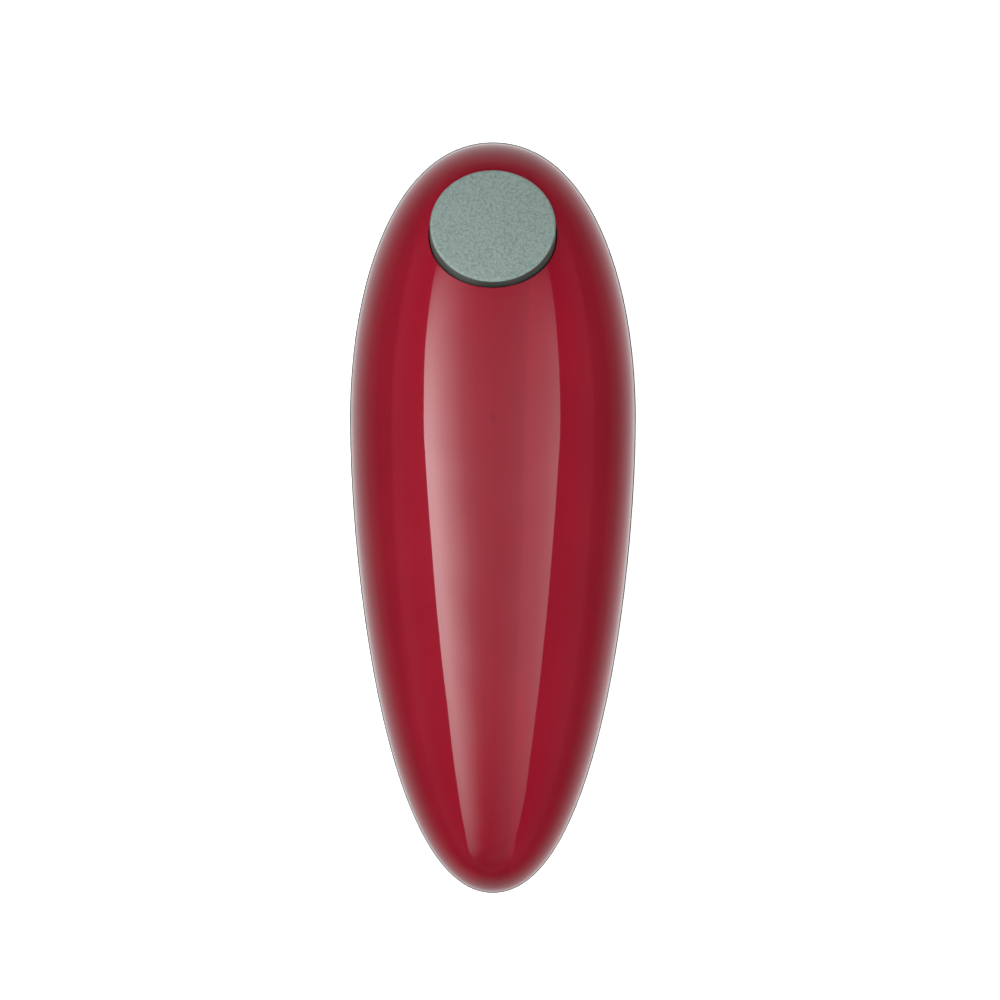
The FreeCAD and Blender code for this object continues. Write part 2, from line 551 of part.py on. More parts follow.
wheel_radius, tooth = size("drive_wheel_radius"), size("drive_wheel_tooth")
teeth = int(size("drive_wheel_teeth"))
ring = []
for index in range(teeth):
    for radius, share in ((wheel_radius - tooth, 0.0), (wheel_radius, 0.4), (wheel_radius, 0.6)):
        angle = 2 * math.pi * (index + share) / teeth
        ring.append(Vector(radius * math.cos(angle), radius * math.sin(angle), 0))
star = Part.Face(Part.makePolygon(ring + ring[:1])).extrude(Vector(0, 0, size("drive_wheel_thick")))
collar_ring = Part.makeCylinder(wheel_radius - tooth, 0.7, Vector(0, 0, 0))
star = star.cut(Part.makeCylinder(wheel_radius + 1, 0.7).cut(collar_ring))
node(feature(bored(star, size("spindle_radius"), 0, size("drive_wheel_thick")), 0, size("spindle_y"),
             size("drive_wheel_base")), "drive_wheel")
node(cut(cylinder("spindle_radius + 1.2", "drive_wheel_base - 1.4", "drive_wheel_base", 0, "spindle_y"),
         block("-0.4", "0.4", "spindle_y - 2.6", "spindle_y + 2.6", "drive_wheel_base - 2",
               "drive_wheel_base - 0.8")), "drive_wheel_screw")

# ---- turret that carries the cutter, with its friction clutch ----

turret = fuse(cylinder("turret_radius", "head_plane", "floor_top + 0.1", 0, "turret_y"),
              cylinder("turret_flange", "floor_top + 0.1", "plate_top - 0.1", 0, "turret_y"),
              cylinder("turret_shaft_radius", "plate_top - 0.2", "clutch_gear_base + wheel_thick + 1.9", 0,
                       "turret_y"),
              cylinder("turret_shaft_radius + 2", "clutch_gear_base - 0.7", "clutch_gear_base - 0.1", 0, "turret_y"),
              cylinder("cutter_pin_radius + 1.5", "cutter_base + cutter_thick + 0.1", "head_plane + 0.1",
                       "-cutter_throw", "turret_y"))
node(cut(turret, cylinder("cutter_pin_radius - 0.7", "cutter_base", "floor_top", "-cutter_throw", "turret_y")),
     "cutter_turret")
node(tube("keeper_radius", "turret_shaft_radius + slip_gap", "plate_top", "plate_top + keeper_thick", 0,
          "turret_y"), "turret_keeper")
shaft, spring_low = size("turret_shaft_radius"), clutch_low + thick
node(feature(lathe([(shaft + 0.1, 0.75), (shaft + 0.1, 1.15), (shaft + 4.5, 0.45), (shaft + 4.5, 0.05)]), 0,
             size("turret_y"), spring_low), "clutch_spring")
clip = fuse(cylinder("turret_shaft_radius + 2.2", "clutch_gear_base + wheel_thick + 1.2",
                     "clutch_gear_base + wheel_thick + 1.9", 0, "turret_y"))
node(cut(clip, cylinder("turret_shaft_radius", "clutch_gear_base + wheel_thick", "clutch_gear_base + wheel_thick + 3",
                        0, "turret_y")), "turret_clip")
blade, bevel, disc = size("cutter_radius"), size("cutter_bevel"), size("cutter_thick")
pin = size("cutter_pin_radius")
node(feature(lathe([(pin + size("slip_gap"), 0), (blade - 2.4, 0), (blade, disc - 0.35), (blade, disc - 0.15),
                    (blade - bevel, disc), (pin + size("slip_gap"), disc)]), -size("cutter_throw"),
             size("turret_y"), size("cutter_base")), "cutter_wheel")
node(cut(fuse(cylinder("cutter_pin_radius + 1.4", "cutter_base - 1.3", "cutter_base - 0.1", "-cutter_throw",
                       "turret_y"),
              cylinder("cutter_pin_radius", "cutter_base - 0.2", "cutter_base + cutter_thick + 0.1",
                       "-cutter_throw", "turret_y"),
              cylinder("cutter_pin_radius - 0.7", "cutter_base + cutter_thick", "floor_top - 0.5", "-cutter_throw",
                       "turret_y")),
         block("-cutter_throw - 0.35", "-cutter_throw + 0.35", "turret_y - 2.4", "turret_y + 2.4",
               "cutter_base - 2", "cutter_base - 0.8")), "cutter_pin")

# ---- lid magnet on its sprung float ----

node(cylinder("magnet_radius", "magnet_base", "magnet_base + magnet_thick", 0, "magnet_y"), "lid_magnet")
node(fuse(cylinder("magnet_radius + 0.5", "magnet_base + magnet_thick", "magnet_base + magnet_thick + 1.8", 0,
                   "magnet_y"),
          cylinder("magnet_stem", "magnet_base + magnet_thick + 1.7", "magnet_ceiling + 3", 0, "magnet_y"),
          cylinder("magnet_stem + 1.2", "magnet_ceiling + 1.45", "magnet_ceiling + 3", 0, "magnet_y")),
     "magnet_float")
float_top = size("magnet_base") + size("magnet_thick") + 1.8
node(feature(coil(5.0, size("magnet_spring_wire") / 2, float_top, size("magnet_ceiling"), 3), 0,
             size("magnet_y")), "magnet_spring")

# ---- cells, contacts and battery door ----

cells = {"left_lower": (-1, 0, -1), "right_lower": (1, 0, 1), "left_upper": (-1, 1, 1), "right_upper": (1, 1, -1)}
cell, nub = size("cell_radius"), size("cell_nub")
contact, length = size("contact_thick"), size("cell_length")
tin = lathe([(0, 0), (cell - 0.4, 0), (cell, 0.4), (cell, length - nub - 0.4), (cell - 0.4, length - nub),
             (2.7, length - nub), (2.7, length), (0, length)])
springs = []
for name, (hand, tier, heading) in cells.items():
    item = feature(tin.copy())
    x = hand * (cell + size("bay_gap") / 4)
    z = size("cell_bottom") + cell + tier * (2 * cell + size("bay_gap") / 2)
    positive = size("bay_front") - contact if heading > 0 else size("bay_rear") + contact
    item.Placement = Placement(Vector(x, positive - heading * length, z), Rotation(Vector(1, 0, 0), -90 * heading))
    node(item, f"cell_{name}")
    spare = size("bay_length") - length - 2 * contact
    spiral = feature(coil(size("contact_spring_radius"), size("contact_spring_wire") / 2, 0, spare, 3))
    spiral.Placement = Placement(Vector(x, positive - heading * (length + spare), z),
                                 Rotation(Vector(1, 0, 0), -90 * heading))
    springs.append(spiral)
node(group(*springs), "contact_springs")
low_mid, high_mid = "cell_bottom + 1.5", "cells_top - 1.5"
front_contact = ("bay_front - contact_thick", "bay_front")
rear_contact = ("bay_rear", "bay_rear + contact_thick")
node(group(block("-bay_half + 1", "-1", *rear_contact, low_mid, high_mid),
           block("1", "bay_half - 1", *rear_contact, low_mid, high_mid),
           block("-bay_half + 1", "bay_half - 1", *front_contact, low_mid, "cell_bottom + 2 * cell_radius - 1"),
           block("-bay_half + 1", "-1", *front_contact, "cell_bottom + 2 * cell_radius + 1.5", high_mid),
           block("1", "bay_half - 1", *front_contact, "cell_bottom + 2 * cell_radius + 1.5", high_mid)),
     "contact_plates")

door_hollow = egg_half(size("door_thick"), size("belly_depth") - size("door_thick"), False)
door_blank = cut(belly, common(door_hollow, block("-body_width", "body_width", "-body_length", "body_length",
                                                  "door_thick", "seam_height + 1")))
door_window = block("-bay_half + loose_gap", "bay_half - loose_gap", "bay_rear + loose_gap",
                    "hinge_y", "-1", "seam_height - 8")
grip = [block("-grip_half_width", "grip_half_width", f"bay_rear + {offset}", f"bay_rear + {offset} + 1", "-1",
              "grip_depth") for offset in (20, 23, 26)]
barrel = crosswise("hinge_radius", "-bay_half + loose_gap", "bay_half - loose_gap", "hinge_y", "hinge_radius")
pegs = crosswise("hinge_peg", "-bay_half - hinge_reach", "bay_half + hinge_reach", "hinge_y", "hinge_radius")
node(fuse(cut(common(door_blank, door_window), *grip), barrel, pegs), "battery_door")

# ---- write ----

doc.recompute()
for item in doc.Objects:
    if "Invalid" in item.State or "Error" in item.State:
        raise RuntimeError(f"{item.Label} failed: {item.State}")
os.makedirs("parts", exist_ok=True)
for item in NODES:
    shape = item.Shape
    if shape.isNull() or not shape.isValid() or not shape.Solids:
        raise RuntimeError(f"{item.Label} has no sound solid")
    shape.exportStep(f"parts/{item.Label}.step")
    box = shape.optimalBoundingBox(False)
    print(f"{item.Label:18s} solids {len(shape.Solids):2d} volume {shape.Volume:10.1f}  "
          f"x {box.XMin:7.2f} {box.XMax:7.2f}  y {box.YMin:7.2f} {box.YMax:7.2f}  z {box.ZMin:6.2f} {box.ZMax:6.2f}")
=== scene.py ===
"""An egg-shaped electric can opener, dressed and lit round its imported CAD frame.

Sizes inside the classes are in millimetres, in the frame of the CAD model: +Z up, +Y towards the wide head,
origin under the middle of the case on the plane that it rests on.  Meshes are made in metres.
"""

import logging
import math
from dataclasses import dataclass
from enum import Enum

import bmesh
import bpy
import numpy as np
from mathutils import Matrix, Vector

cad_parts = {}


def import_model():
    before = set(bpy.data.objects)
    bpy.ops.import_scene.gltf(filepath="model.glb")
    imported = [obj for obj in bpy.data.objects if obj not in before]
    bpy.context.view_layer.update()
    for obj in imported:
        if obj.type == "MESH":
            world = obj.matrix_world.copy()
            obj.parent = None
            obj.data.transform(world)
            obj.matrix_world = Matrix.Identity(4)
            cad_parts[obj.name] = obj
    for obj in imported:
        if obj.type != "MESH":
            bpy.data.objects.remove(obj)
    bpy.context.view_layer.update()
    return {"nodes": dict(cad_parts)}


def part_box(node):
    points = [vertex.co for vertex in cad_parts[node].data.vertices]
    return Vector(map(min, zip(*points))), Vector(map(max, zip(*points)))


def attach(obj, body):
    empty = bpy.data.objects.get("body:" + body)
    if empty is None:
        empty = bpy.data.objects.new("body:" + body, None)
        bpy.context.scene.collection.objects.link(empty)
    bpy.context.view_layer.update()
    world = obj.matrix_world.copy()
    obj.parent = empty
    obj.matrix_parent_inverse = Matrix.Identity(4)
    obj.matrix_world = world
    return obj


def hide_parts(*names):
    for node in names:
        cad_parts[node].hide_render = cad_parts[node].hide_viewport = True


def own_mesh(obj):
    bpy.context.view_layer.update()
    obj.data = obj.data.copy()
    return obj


log = logging.getLogger("can_opener")

MM = 0.001
Colour = tuple[float, float, float, float]
Point = tuple[float, float, float]
Spot = tuple[float, float]
Tones = tuple[Colour, Colour]
Profile = list[Spot]


class Shaping(Enum):
    """How one solid changes another."""

    JOIN = "UNION"
    CUT = "DIFFERENCE"
    TRIM = "INTERSECT"


class Slot(Enum):
    """The names of material slots in the CAD record."""

    CASE_RED = "case_red"
    BUTTON = "button_green"
    PLATE = "plate_steel"


# ---------------------------------------------------------------- finishes


class Bench:
    """A material's node tree, with short calls for the nodes that the finishes share."""

    def __init__(self, name: str) -> None:
        """Start an empty finish.

        Args:
            name: the material's name.
        """
        self.material = bpy.data.materials.new(name)
        self.material.use_nodes = True
        self.tree = self.material.node_tree
        self.shader = self.tree.nodes["Principled BSDF"]

    def feed(self, socket: bpy.types.NodeSocket, value: object) -> None:
        """Set a socket to a constant, or link another node's output to it.

        Args:
            socket: the input socket.
            value: a number, colour or vector, or the output socket to link.
        """
        if isinstance(value, bpy.types.NodeSocket):
            self.tree.links.new(value, socket)
        else:
            socket.default_value = value

    def surface(self, **values: object) -> None:
        """Set the shader's own sockets, underscores standing for spaces."""
        for label, value in values.items():
            self.feed(self.shader.inputs[label.replace("_", " ")], value)

    def node(self, kind: str, **values: object) -> bpy.types.Node:
        """Add a node.

        Args:
            kind: the node's type name.
            **values: its inputs, underscores standing for spaces.

        Returns:
            The new node.
        """
        made = self.tree.nodes.new(kind)
        for label, value in values.items():
            self.feed(made.inputs[label.replace("_", " ")], value)
        return made

    def place(self, stretch: Point = (1.0, 1.0, 1.0), centre: Point = (0.0, 0.0, 0.0)) -> bpy.types.NodeSocket:
        """Where on the piece a point lies, in metres of the row frame.

        Args:
            stretch: how much each axis is scaled.
            centre: the point that becomes the origin, in mm.

        Returns:
            A vector socket.
        """
        where = self.node("ShaderNodeTexCoord").outputs["Object"]
        shift = tuple(-c * MM * s for c, s in zip(centre, stretch))
        return self.node("ShaderNodeMapping", Vector=where, Scale=stretch, Location=shift).outputs["Vector"]

    def noise(self, size: float, detail: float = 3.0,
              place: bpy.types.NodeSocket | None = None) -> bpy.types.NodeSocket:
        """Soft mottling.

        Args:
            size: the size of one patch, in mm.
            detail: octaves of finer mottling.
            place: a vector socket, or None for the plain row frame.

        Returns:
            A value socket from 0 to 1.
        """
        made = self.node("ShaderNodeTexNoise", Vector=place or self.place(), Scale=1.0 / (size * MM), Detail=detail,
                         Roughness=0.55)
        return made.outputs[0]

    def cells(self, size: float) -> bpy.types.NodeSocket:
        """Distance to the middle of pebbled cells of a given size in mm, smoothed at their borders."""
        made = self.node("ShaderNodeTexVoronoi", Vector=self.place(), Scale=1.0 / (size * MM))
        made.feature = "SMOOTH_F1"
        return made.outputs["Distance"]

    def span(self, value: bpy.types.NodeSocket, low: float, high: float, start: float = 0.3,
             end: float = 0.7) -> bpy.types.NodeSocket:
        """Stretch a value from start..end to low..high, clamped."""
        made = self.node("ShaderNodeMapRange", Value=value)
        for label, number in (("From Min", start), ("From Max", end), ("To Min", low), ("To Max", high)):
            made.inputs[label].default_value = number
        return made.outputs["Result"]

    def ramp(self, value: bpy.types.NodeSocket, stops: list[tuple[float, Colour]],
             steps: bool = False) -> bpy.types.NodeSocket:
        """Colours along a value.

        Args:
            value: the value socket.
            stops: (position, colour) from low to high.
            steps: hard edges between the colours.

        Returns:
            A colour socket.
        """
        made = self.node("ShaderNodeValToRGB", Fac=value)
        made.color_ramp.interpolation = "CONSTANT" if steps else "LINEAR"
        elements = made.color_ramp.elements
        while len(elements) < len(stops):
            elements.new(1.0)
        for element, (position, colour) in zip(elements, stops):
            element.position, element.color = position, colour
        return made.outputs["Color"]

    def bump(self, height: bpy.types.NodeSocket, depth: float,
             over: bpy.types.NodeSocket | None = None) -> bpy.types.NodeSocket:
        """Relief on the surface.

        Args:
            height: the height socket, 0 to 1.
            depth: its real depth, in mm.
            over: another relief that this one lies on.

        Returns:
            A normal socket.
        """
        made = self.node("ShaderNodeBump", Height=height, Distance=depth * MM, Strength=1.0)
        if over is not None:
            self.feed(made.inputs["Normal"], over)
        return made.outputs["Normal"]


@dataclass(frozen=True)
class Lacquer:
    """Deep red high-gloss plastic: faint tone drift, a trace of orange peel and light handling marks."""

    name: str = "gloss_lacquer_red"
    deep: Colour = (0.209, 0.0035, 0.0134, 1.0)
    warm: Colour = (0.226, 0.0043, 0.0152, 1.0)
    drift_size: float = 38.0
    peel_size: float = 2.2
    peel_depth: float = 0.0012
    mark_size: float = 16.0
    body_rough: tuple[float, float] = (0.29, 0.38)
    coat_rough: float = 0.035
    level: float = 0.04

    def material(self) -> bpy.types.Material:
        """Build the node material."""
        bench = Bench(self.name)
        drift = bench.noise(self.drift_size, 2.0)
        peel = bench.bump(bench.noise(self.peel_size, 1.0), self.peel_depth)
        marks = bench.noise(self.mark_size, 2.0)
        bench.surface(
            Base_Color=bench.ramp(drift, [(0.35, self.deep), (0.65, self.warm)]),
            Roughness=bench.span(marks, *self.body_rough, 0.2, 0.8), Normal=peel, IOR=1.46, Coat_Weight=1.0,
            Coat_Roughness=self.coat_rough, Coat_IOR=1.5, Specular_IOR_Level=self.level)
        return bench.material


@dataclass(frozen=True)
class LeatherGrain:
    """Soft-touch grey-green plastic with the fine pebbled grain of the push button."""

    name: str = "button_leather_grain"
    dark: Colour = (0.116, 0.160, 0.143, 1.0)
    light: Colour = (0.198, 0.256, 0.234, 1.0)
    wander: float = 1.6
    pebble: float = 0.62
    crease: float = 0.30
    wander_depth: float = 0.05
    pebble_depth: float = 0.10
    crease_depth: float = 0.05
    level: float = 0.45

    def material(self) -> bpy.types.Material:
        """Build the node material."""
        bench = Bench(self.name)
        wander = bench.noise(self.wander, 2.0)
        pebbles = bench.cells(self.pebble)
        fine = bench.noise(self.crease, 3.0)
        tone = bench.node("ShaderNodeMix", Factor=0.55)
        bench.feed(tone.inputs[2], pebbles)
        bench.feed(tone.inputs[3], fine)
        folds = bench.bump(wander, self.wander_depth)
        relief = bench.bump(fine, self.crease_depth, bench.bump(pebbles, self.pebble_depth, folds))
        bench.surface(
            Base_Color=bench.ramp(tone.outputs[0], [(0.34, self.light), (0.64, self.dark)]),
            Roughness=bench.span(fine, 0.42, 0.60), Normal=relief, IOR=1.48, Specular_IOR_Level=self.level)
        return bench.material


@dataclass(frozen=True)
class Moulded:
    """Moulded plastic with a spark-eroded texture.

    `grain` is the size of one pit in mm and `depth` how deep it is, `drift` the size of one patch of tone in mm, and
    `glow` how far light soaks into the plastic.
    """

    name: str
    dark: Colour
    light: Colour
    rough: float = 0.5
    grain: float = 0.35
    depth: float = 0.02
    drift: float = 22.0
    level: float = 0.4
    glow: float = 0.0

    def material(self) -> bpy.types.Material:
        """Build the node material."""
        bench = Bench(self.name)
        pits = bench.noise(self.grain, 2.0)
        tone = bench.noise(self.drift, 4.0)
        bench.surface(
            Base_Color=bench.ramp(tone, [(0.32, self.dark), (0.68, self.light)]),
            Roughness=bench.span(tone, self.rough - 0.05, self.rough + 0.06),
            Normal=bench.bump(pits, self.depth), IOR=1.49, Specular_IOR_Level=self.level)
        if self.glow:
            bench.surface(Subsurface_Weight=self.glow, Subsurface_Scale=1.5 * MM)
        return bench.material


@dataclass(frozen=True)
class Rolled:
    """Rolled or plated sheet metal with fine lines along one axis."""

    name: str
    dark: Colour
    light: Colour
    rough: float = 0.3
    along: Point = (1.0, 0.04, 1.0)
    line: float = 0.25

    def material(self) -> bpy.types.Material:
        """Build the node material."""
        bench = Bench(self.name)
        lines = bench.noise(self.line, 2.0, bench.place(self.along))
        clouds = bench.noise(6.0, 4.0)
        bench.surface(
            Base_Color=bench.ramp(clouds, [(0.3, self.dark), (0.7, self.light)]), Metallic=1.0,
            Roughness=bench.span(lines, self.rough - 0.08, self.rough + 0.12),
            Normal=bench.bump(lines, 0.006))
        return bench.material


@dataclass(frozen=True)
class Turned:
    """Metal cut on a lathe: rings about an upright axis at `centre`, worn brighter in patches."""

    name: str
    centre: Spot
    dark: Colour = (0.46, 0.47, 0.49, 1.0)
    light: Colour = (0.70, 0.71, 0.73, 1.0)
    rough: float = 0.22
    pitch: float = 0.32

    def material(self) -> bpy.types.Material:
        """Build the node material."""
        bench = Bench(self.name)
        rings = bench.node("ShaderNodeTexWave", Vector=bench.place(centre=(*self.centre, 0.0)), Distortion=0.6,
                           Scale=1.0 / (self.pitch * MM * 20.0), Detail=2.0)
        rings.wave_type, rings.rings_direction = "RINGS", "Z"
        height = rings.outputs["Fac"]
        wear = bench.noise(2.5, 4.0)
        bench.surface(
            Base_Color=bench.ramp(wear, [(0.3, self.dark), (0.7, self.light)]), Metallic=1.0,
            Roughness=bench.span(height, self.rough - 0.05, self.rough + 0.10, 0.0, 1.0),
            Normal=bench.bump(height, 0.008))
        return bench.material


@dataclass(frozen=True)
class Sleeve:
    """A cell's printed sleeve: a dark body, a copper-coloured band at one end and bare metal ends.

    `low` and `high` are the cell's ends along Y in mm, and `plus_high` says that the band is at the high end.  `rim`
    and `band` are the lengths of the bare end and of the band in mm, and `shine` is how metallic each stretch is.
    """

    name: str
    low: float
    high: float
    plus_high: bool
    rim: float = 0.8
    band: float = 13.0
    steel: Colour = (0.62, 0.62, 0.63, 1.0)
    dark: Colour = (0.020, 0.045, 0.120, 1.0)
    copper: Colour = (0.62, 0.26, 0.10, 1.0)
    shine: Colour = (1.0, 0.25, 0.6, 1.0)

    def material(self) -> bpy.types.Material:
        """Build the node material."""
        bench = Bench(self.name)
        span = self.high - self.low
        where = bench.place(centre=(0.0, self.low, 0.0))
        along = bench.node("ShaderNodeSeparateXYZ", Vector=where).outputs["Y"]
        share = bench.span(along, 0.0, 1.0, 0.0, span * MM)
        edge = self.rim / span
        borders = (0.0, edge, 1.0 - self.band / span, 1.0 - 2.4 * edge)
        stops = list(zip(borders, (self.steel, self.dark, self.copper, self.steel)))
        metal = [(border, (shine,) * 4) for border, shine in zip(borders, self.shine)]
        if not self.plus_high:
            share = bench.span(share, 1.0, 0.0, 0.0, 1.0)
        scuff = bench.noise(5.0, 5.0)
        bench.surface(
            Base_Color=bench.ramp(share, stops, steps=True), Metallic=bench.ramp(share, metal, steps=True),
            Roughness=bench.span(scuff, 0.24, 0.42), Normal=bench.bump(scuff, 0.01))
        return bench.material


def dress(piece: bpy.types.Object, material: bpy.types.Material) -> None:
    """Give every material slot of a piece one finish."""
    if not piece.data.materials:
        piece.data.materials.append(material)
    for slot in piece.material_slots:
        slot.material = material


# ---------------------------------------------------------------- making meshes


def solid(name: str, points: np.ndarray, faces: list[tuple[int, ...]], merge: float = 1e-7) -> bpy.types.Object:
    """Make a mesh object from points in mm.

    Args:
        name: the object's name.
        points: N x 3 coordinates in mm.
        faces: corner numbers of each face.
        merge: corners closer than this, in metres, become one.

    Returns:
        The object, smooth with sharp edges kept, its faces all looking outwards.
    """
    mesh = bpy.data.meshes.new(name)
    mesh.from_pydata((np.asarray(points, float) * MM).tolist(), [], faces)
    work = bmesh.new()
    work.from_mesh(mesh)
    bmesh.ops.remove_doubles(work, verts=work.verts, dist=merge)
    bmesh.ops.dissolve_degenerate(work, edges=work.edges, dist=merge)
    bmesh.ops.recalc_face_normals(work, faces=work.faces)
    work.to_mesh(mesh)
    work.free()
    item = bpy.data.objects.new(name, mesh)
    bpy.context.scene.collection.objects.link(item)
    soften(item)
    return item


def soften(item: bpy.types.Object, angle: float = 32.0) -> None:
    """Shade a mesh smooth, with edges sharper than an angle in degrees kept crisp."""
    item.data.shade_smooth()
    item.data.set_sharp_from_angle(angle=math.radians(angle))


def net(rows: int, columns: int, start: int = 0, around: bool = False) -> list[tuple[int, ...]]:
    """Faces of a grid of points.

    Args:
        rows: points along.
        columns: points across.
        start: the number of the first point.
        around: the last column joins the first.

    Returns:
        Four corner numbers for each face.
    """
    made = []
    for r in range(rows - 1):
        for c in range(columns if around else columns - 1):
            n = (c + 1) % columns
            a, b = start + r * columns, start + (r + 1) * columns
            made.append((a + c, a + n, b + n, b + c))
    return made


def turned(name: str, profile: Profile, sides: int, at: Point = (0.0, 0.0, 0.0)) -> bpy.types.Object:
    """A solid turned about an upright axis.

    Args:
        name: the object's name.
        profile: (radius, height) corners in mm, from axis to axis.
        sides: steps round.
        at: where the axis stands, in mm.

    Returns:
        The object.
    """
    angle = np.linspace(0.0, 2.0 * math.pi, sides, endpoint=False)
    points = [(r * math.cos(a) + at[0], r * math.sin(a) + at[1], z + at[2]) for r, z in profile for a in angle]
    return solid(name, np.array(points), net(len(profile), sides, around=True))


def rod(name: str, radius: float, low: float, high: float, sides: int,
        at: Point = (0.0, 0.0, 0.0)) -> bpy.types.Object:
    """A plain round rod about an upright axis, used to join or cut other solids.

    Args:
        name: the object's name.
        radius: of the rod, in mm.
        low: height of its foot.
        high: height of its top.
        sides: steps round.
        at: where the axis stands, in mm.

    Returns:
        The object.
    """
    return turned(name, [(0.0, low), (radius, low), (radius, high), (0.0, high)], sides, at)


def arc(middle: Spot, radius: float, start: float, end: float, steps: int = 8) -> Profile:
    """Corners along an arc of a profile, its angles in degrees."""
    return [(middle[0] + radius * math.cos(math.radians(a)), middle[1] + radius * math.sin(math.radians(a)))
            for a in np.linspace(start, end, steps)]


def swept(name: str, line: np.ndarray, radius: float, sides: int = 12) -> bpy.types.Object:
    """Round wire along a line, its ends closed.

    Args:
        name: the object's name.
        line: N x 3 points in mm.
        radius: of the wire, in mm.
        sides: faces round the wire.

    Returns:
        The object.
    """
    along = np.gradient(line, axis=0)
    along /= np.linalg.norm(along, axis=1)[:, None]
    side = np.cross(along, (0.0, 0.0, 1.0))
    side /= np.linalg.norm(side, axis=1)[:, None]
    up = np.cross(side, along)
    turn = np.linspace(0.0, 2.0 * math.pi, sides, endpoint=False)
    rings = line[:, None] + radius * (np.cos(turn)[None, :, None] * side[:, None]
                                      + np.sin(turn)[None, :, None] * up[:, None])
    faces = net(len(line), sides, around=True)
    last = (len(line) - 1) * sides
    faces += [tuple(range(sides)), tuple(range(last, last + sides))]
    return solid(name, rings.reshape(-1, 3), faces)


def carve(base: bpy.types.Object, tool: bpy.types.Object, how: Shaping) -> None:
    """Join, cut or trim one solid with another, which is used up.

    Args:
        base: the solid that stays.
        tool: the solid that goes.
        how: what is done.
    """
    step = base.modifiers.new("shaping", "BOOLEAN")
    step.operation, step.object, step.solver = how.value, tool, "EXACT"
    made = bpy.data.meshes.new_from_object(base.evaluated_get(bpy.context.evaluated_depsgraph_get()))
    base.modifiers.clear()
    old, base.data = base.data, made
    made.name = old.name + "_shaped"
    bpy.data.meshes.remove(old)
    spent = tool.data
    bpy.data.objects.remove(tool)
    bpy.data.meshes.remove(spent)


def merged(items: list[bpy.types.Object]) -> bpy.types.Object:
    """Several solids as one object, the first one's."""
    work = bmesh.new()
    for item in items:
        item.data.transform(item.matrix_world)
        work.from_mesh(item.data)
    work.to_mesh(items[0].data)
    work.free()
    for item in items[1:]:
        spent = item.data
        bpy.data.objects.remove(item)
        bpy.data.meshes.remove(spent)
    return items[0]


def report(piece: bpy.types.Object, body: str) -> None:
    """Say in the log what a piece is, what it rides on and how many faces it has."""
    log.info("%-26s rides on %-12s %7d faces", piece.name, body, len(piece.data.polygons))


# ---------------------------------------------------------------- the case


@dataclass(frozen=True)
class Egg:
    """The egg that the case is a half of: a round-nosed outline turned about its length and pressed flatter."""

    inset: float
    depth: float
    half_width: float = 38.1
    half_length: float = 100.0
    widest: float = 26.4
    seam: float = 22.0
    head_roundness: float = 0.6625
    head_fullness: float = 0.519
    flank_fullness: float = 0.303
    tail_roundness: float = 0.756

    @property
    def squeeze(self) -> float:
        """Height of the half over its half width."""
        return self.depth / (self.half_width - self.inset)

    def outline(self, count: int) -> tuple[np.ndarray, np.ndarray]:
        """The outline from the head to the tail.

        Args:
            count: points on each of its two curves.

        Returns:
            (half width, y) of each point in mm, and the direction of the outline there.
        """
        half, end, mid = self.half_width - self.inset, self.half_length - self.inset, self.widest
        nose = [(0, end), (self.head_roundness * half, end), (half, mid + self.head_fullness * (end - mid)),
                (half, mid)]
        flank = [(half, mid), (half, mid - self.flank_fullness * (end + mid)), (self.tail_roundness * half, -end),
                 (0, -end)]
        spots, leads = [], []
        for poles in (np.array(nose, float), np.array(flank, float)):
            t = np.linspace(0.0, 1.0, count)[:, None]
            s = 1.0 - t
            spots.append(s ** 3 * poles[0] + 3 * s * s * t * poles[1] + 3 * s * t * t * poles[2]
                         + t ** 3 * poles[3])
            leads.append(3 * (s * s * (poles[1] - poles[0]) + 2 * s * t * (poles[2] - poles[1])
                              + t * t * (poles[3] - poles[2])))
        leads[1] *= np.linalg.norm(leads[0][-1]) / np.linalg.norm(leads[1][0])
        return np.vstack([spots[0], spots[1][1:]]), np.vstack([leads[0], leads[1][1:]])

    def skin(self, along: int, across: int, lip: float = 0.0) -> np.ndarray:
        """Points over the upper half of the egg.

        Args:
            along: points on each curve of the outline.
            across: points from one seam edge to the other.
            lip: share of the half width by which the seam edge is broken.

        Returns:
            rows x columns x 3 points in mm.
        """
        spots, _ = self.outline(along)
        turn = np.linspace(0.0, math.pi, across)
        if lip:
            turn[1], turn[-2] = lip, math.pi - lip
        reach = np.cos(turn)
        if lip:
            reach[0], reach[-1] = 1.0 - lip, lip - 1.0
        height = np.sin(turn) * self.squeeze
        r, y = spots[:, 0][:, None], spots[:, 1][:, None]
        return np.stack([r * reach, np.broadcast_to(y, (len(spots), across)), self.seam + r * height], axis=2)

    def aim(self, points: np.ndarray) -> tuple[np.ndarray, np.ndarray]:
        """The true surface direction at points on or near the egg.

        Args:
            points: N x 3 in mm.

        Returns:
            N x 3 outward directions, and how far each point lies off the egg as a share of its half width.
        """
        spots, leads = self.outline(1500)
        back = slice(None, None, -1)
        y = points[:, 1]
        r = np.interp(y, spots[back, 1], spots[back, 0])
        lead_r = np.interp(y, spots[back, 1], leads[back, 0])
        lead_y = np.interp(y, spots[back, 1], leads[back, 1])
        up = (points[:, 2] - self.seam) / self.squeeze
        found = np.hypot(points[:, 0], up)
        safe = np.maximum(found, 1e-6)
        aims = np.stack([-lead_y * points[:, 0] / safe, lead_r, -lead_y * up / safe / self.squeeze], axis=1)
        aims /= np.maximum(np.linalg.norm(aims, axis=1), 1e-9)[:, None]
        return aims, np.abs(found - r) / self.half_width


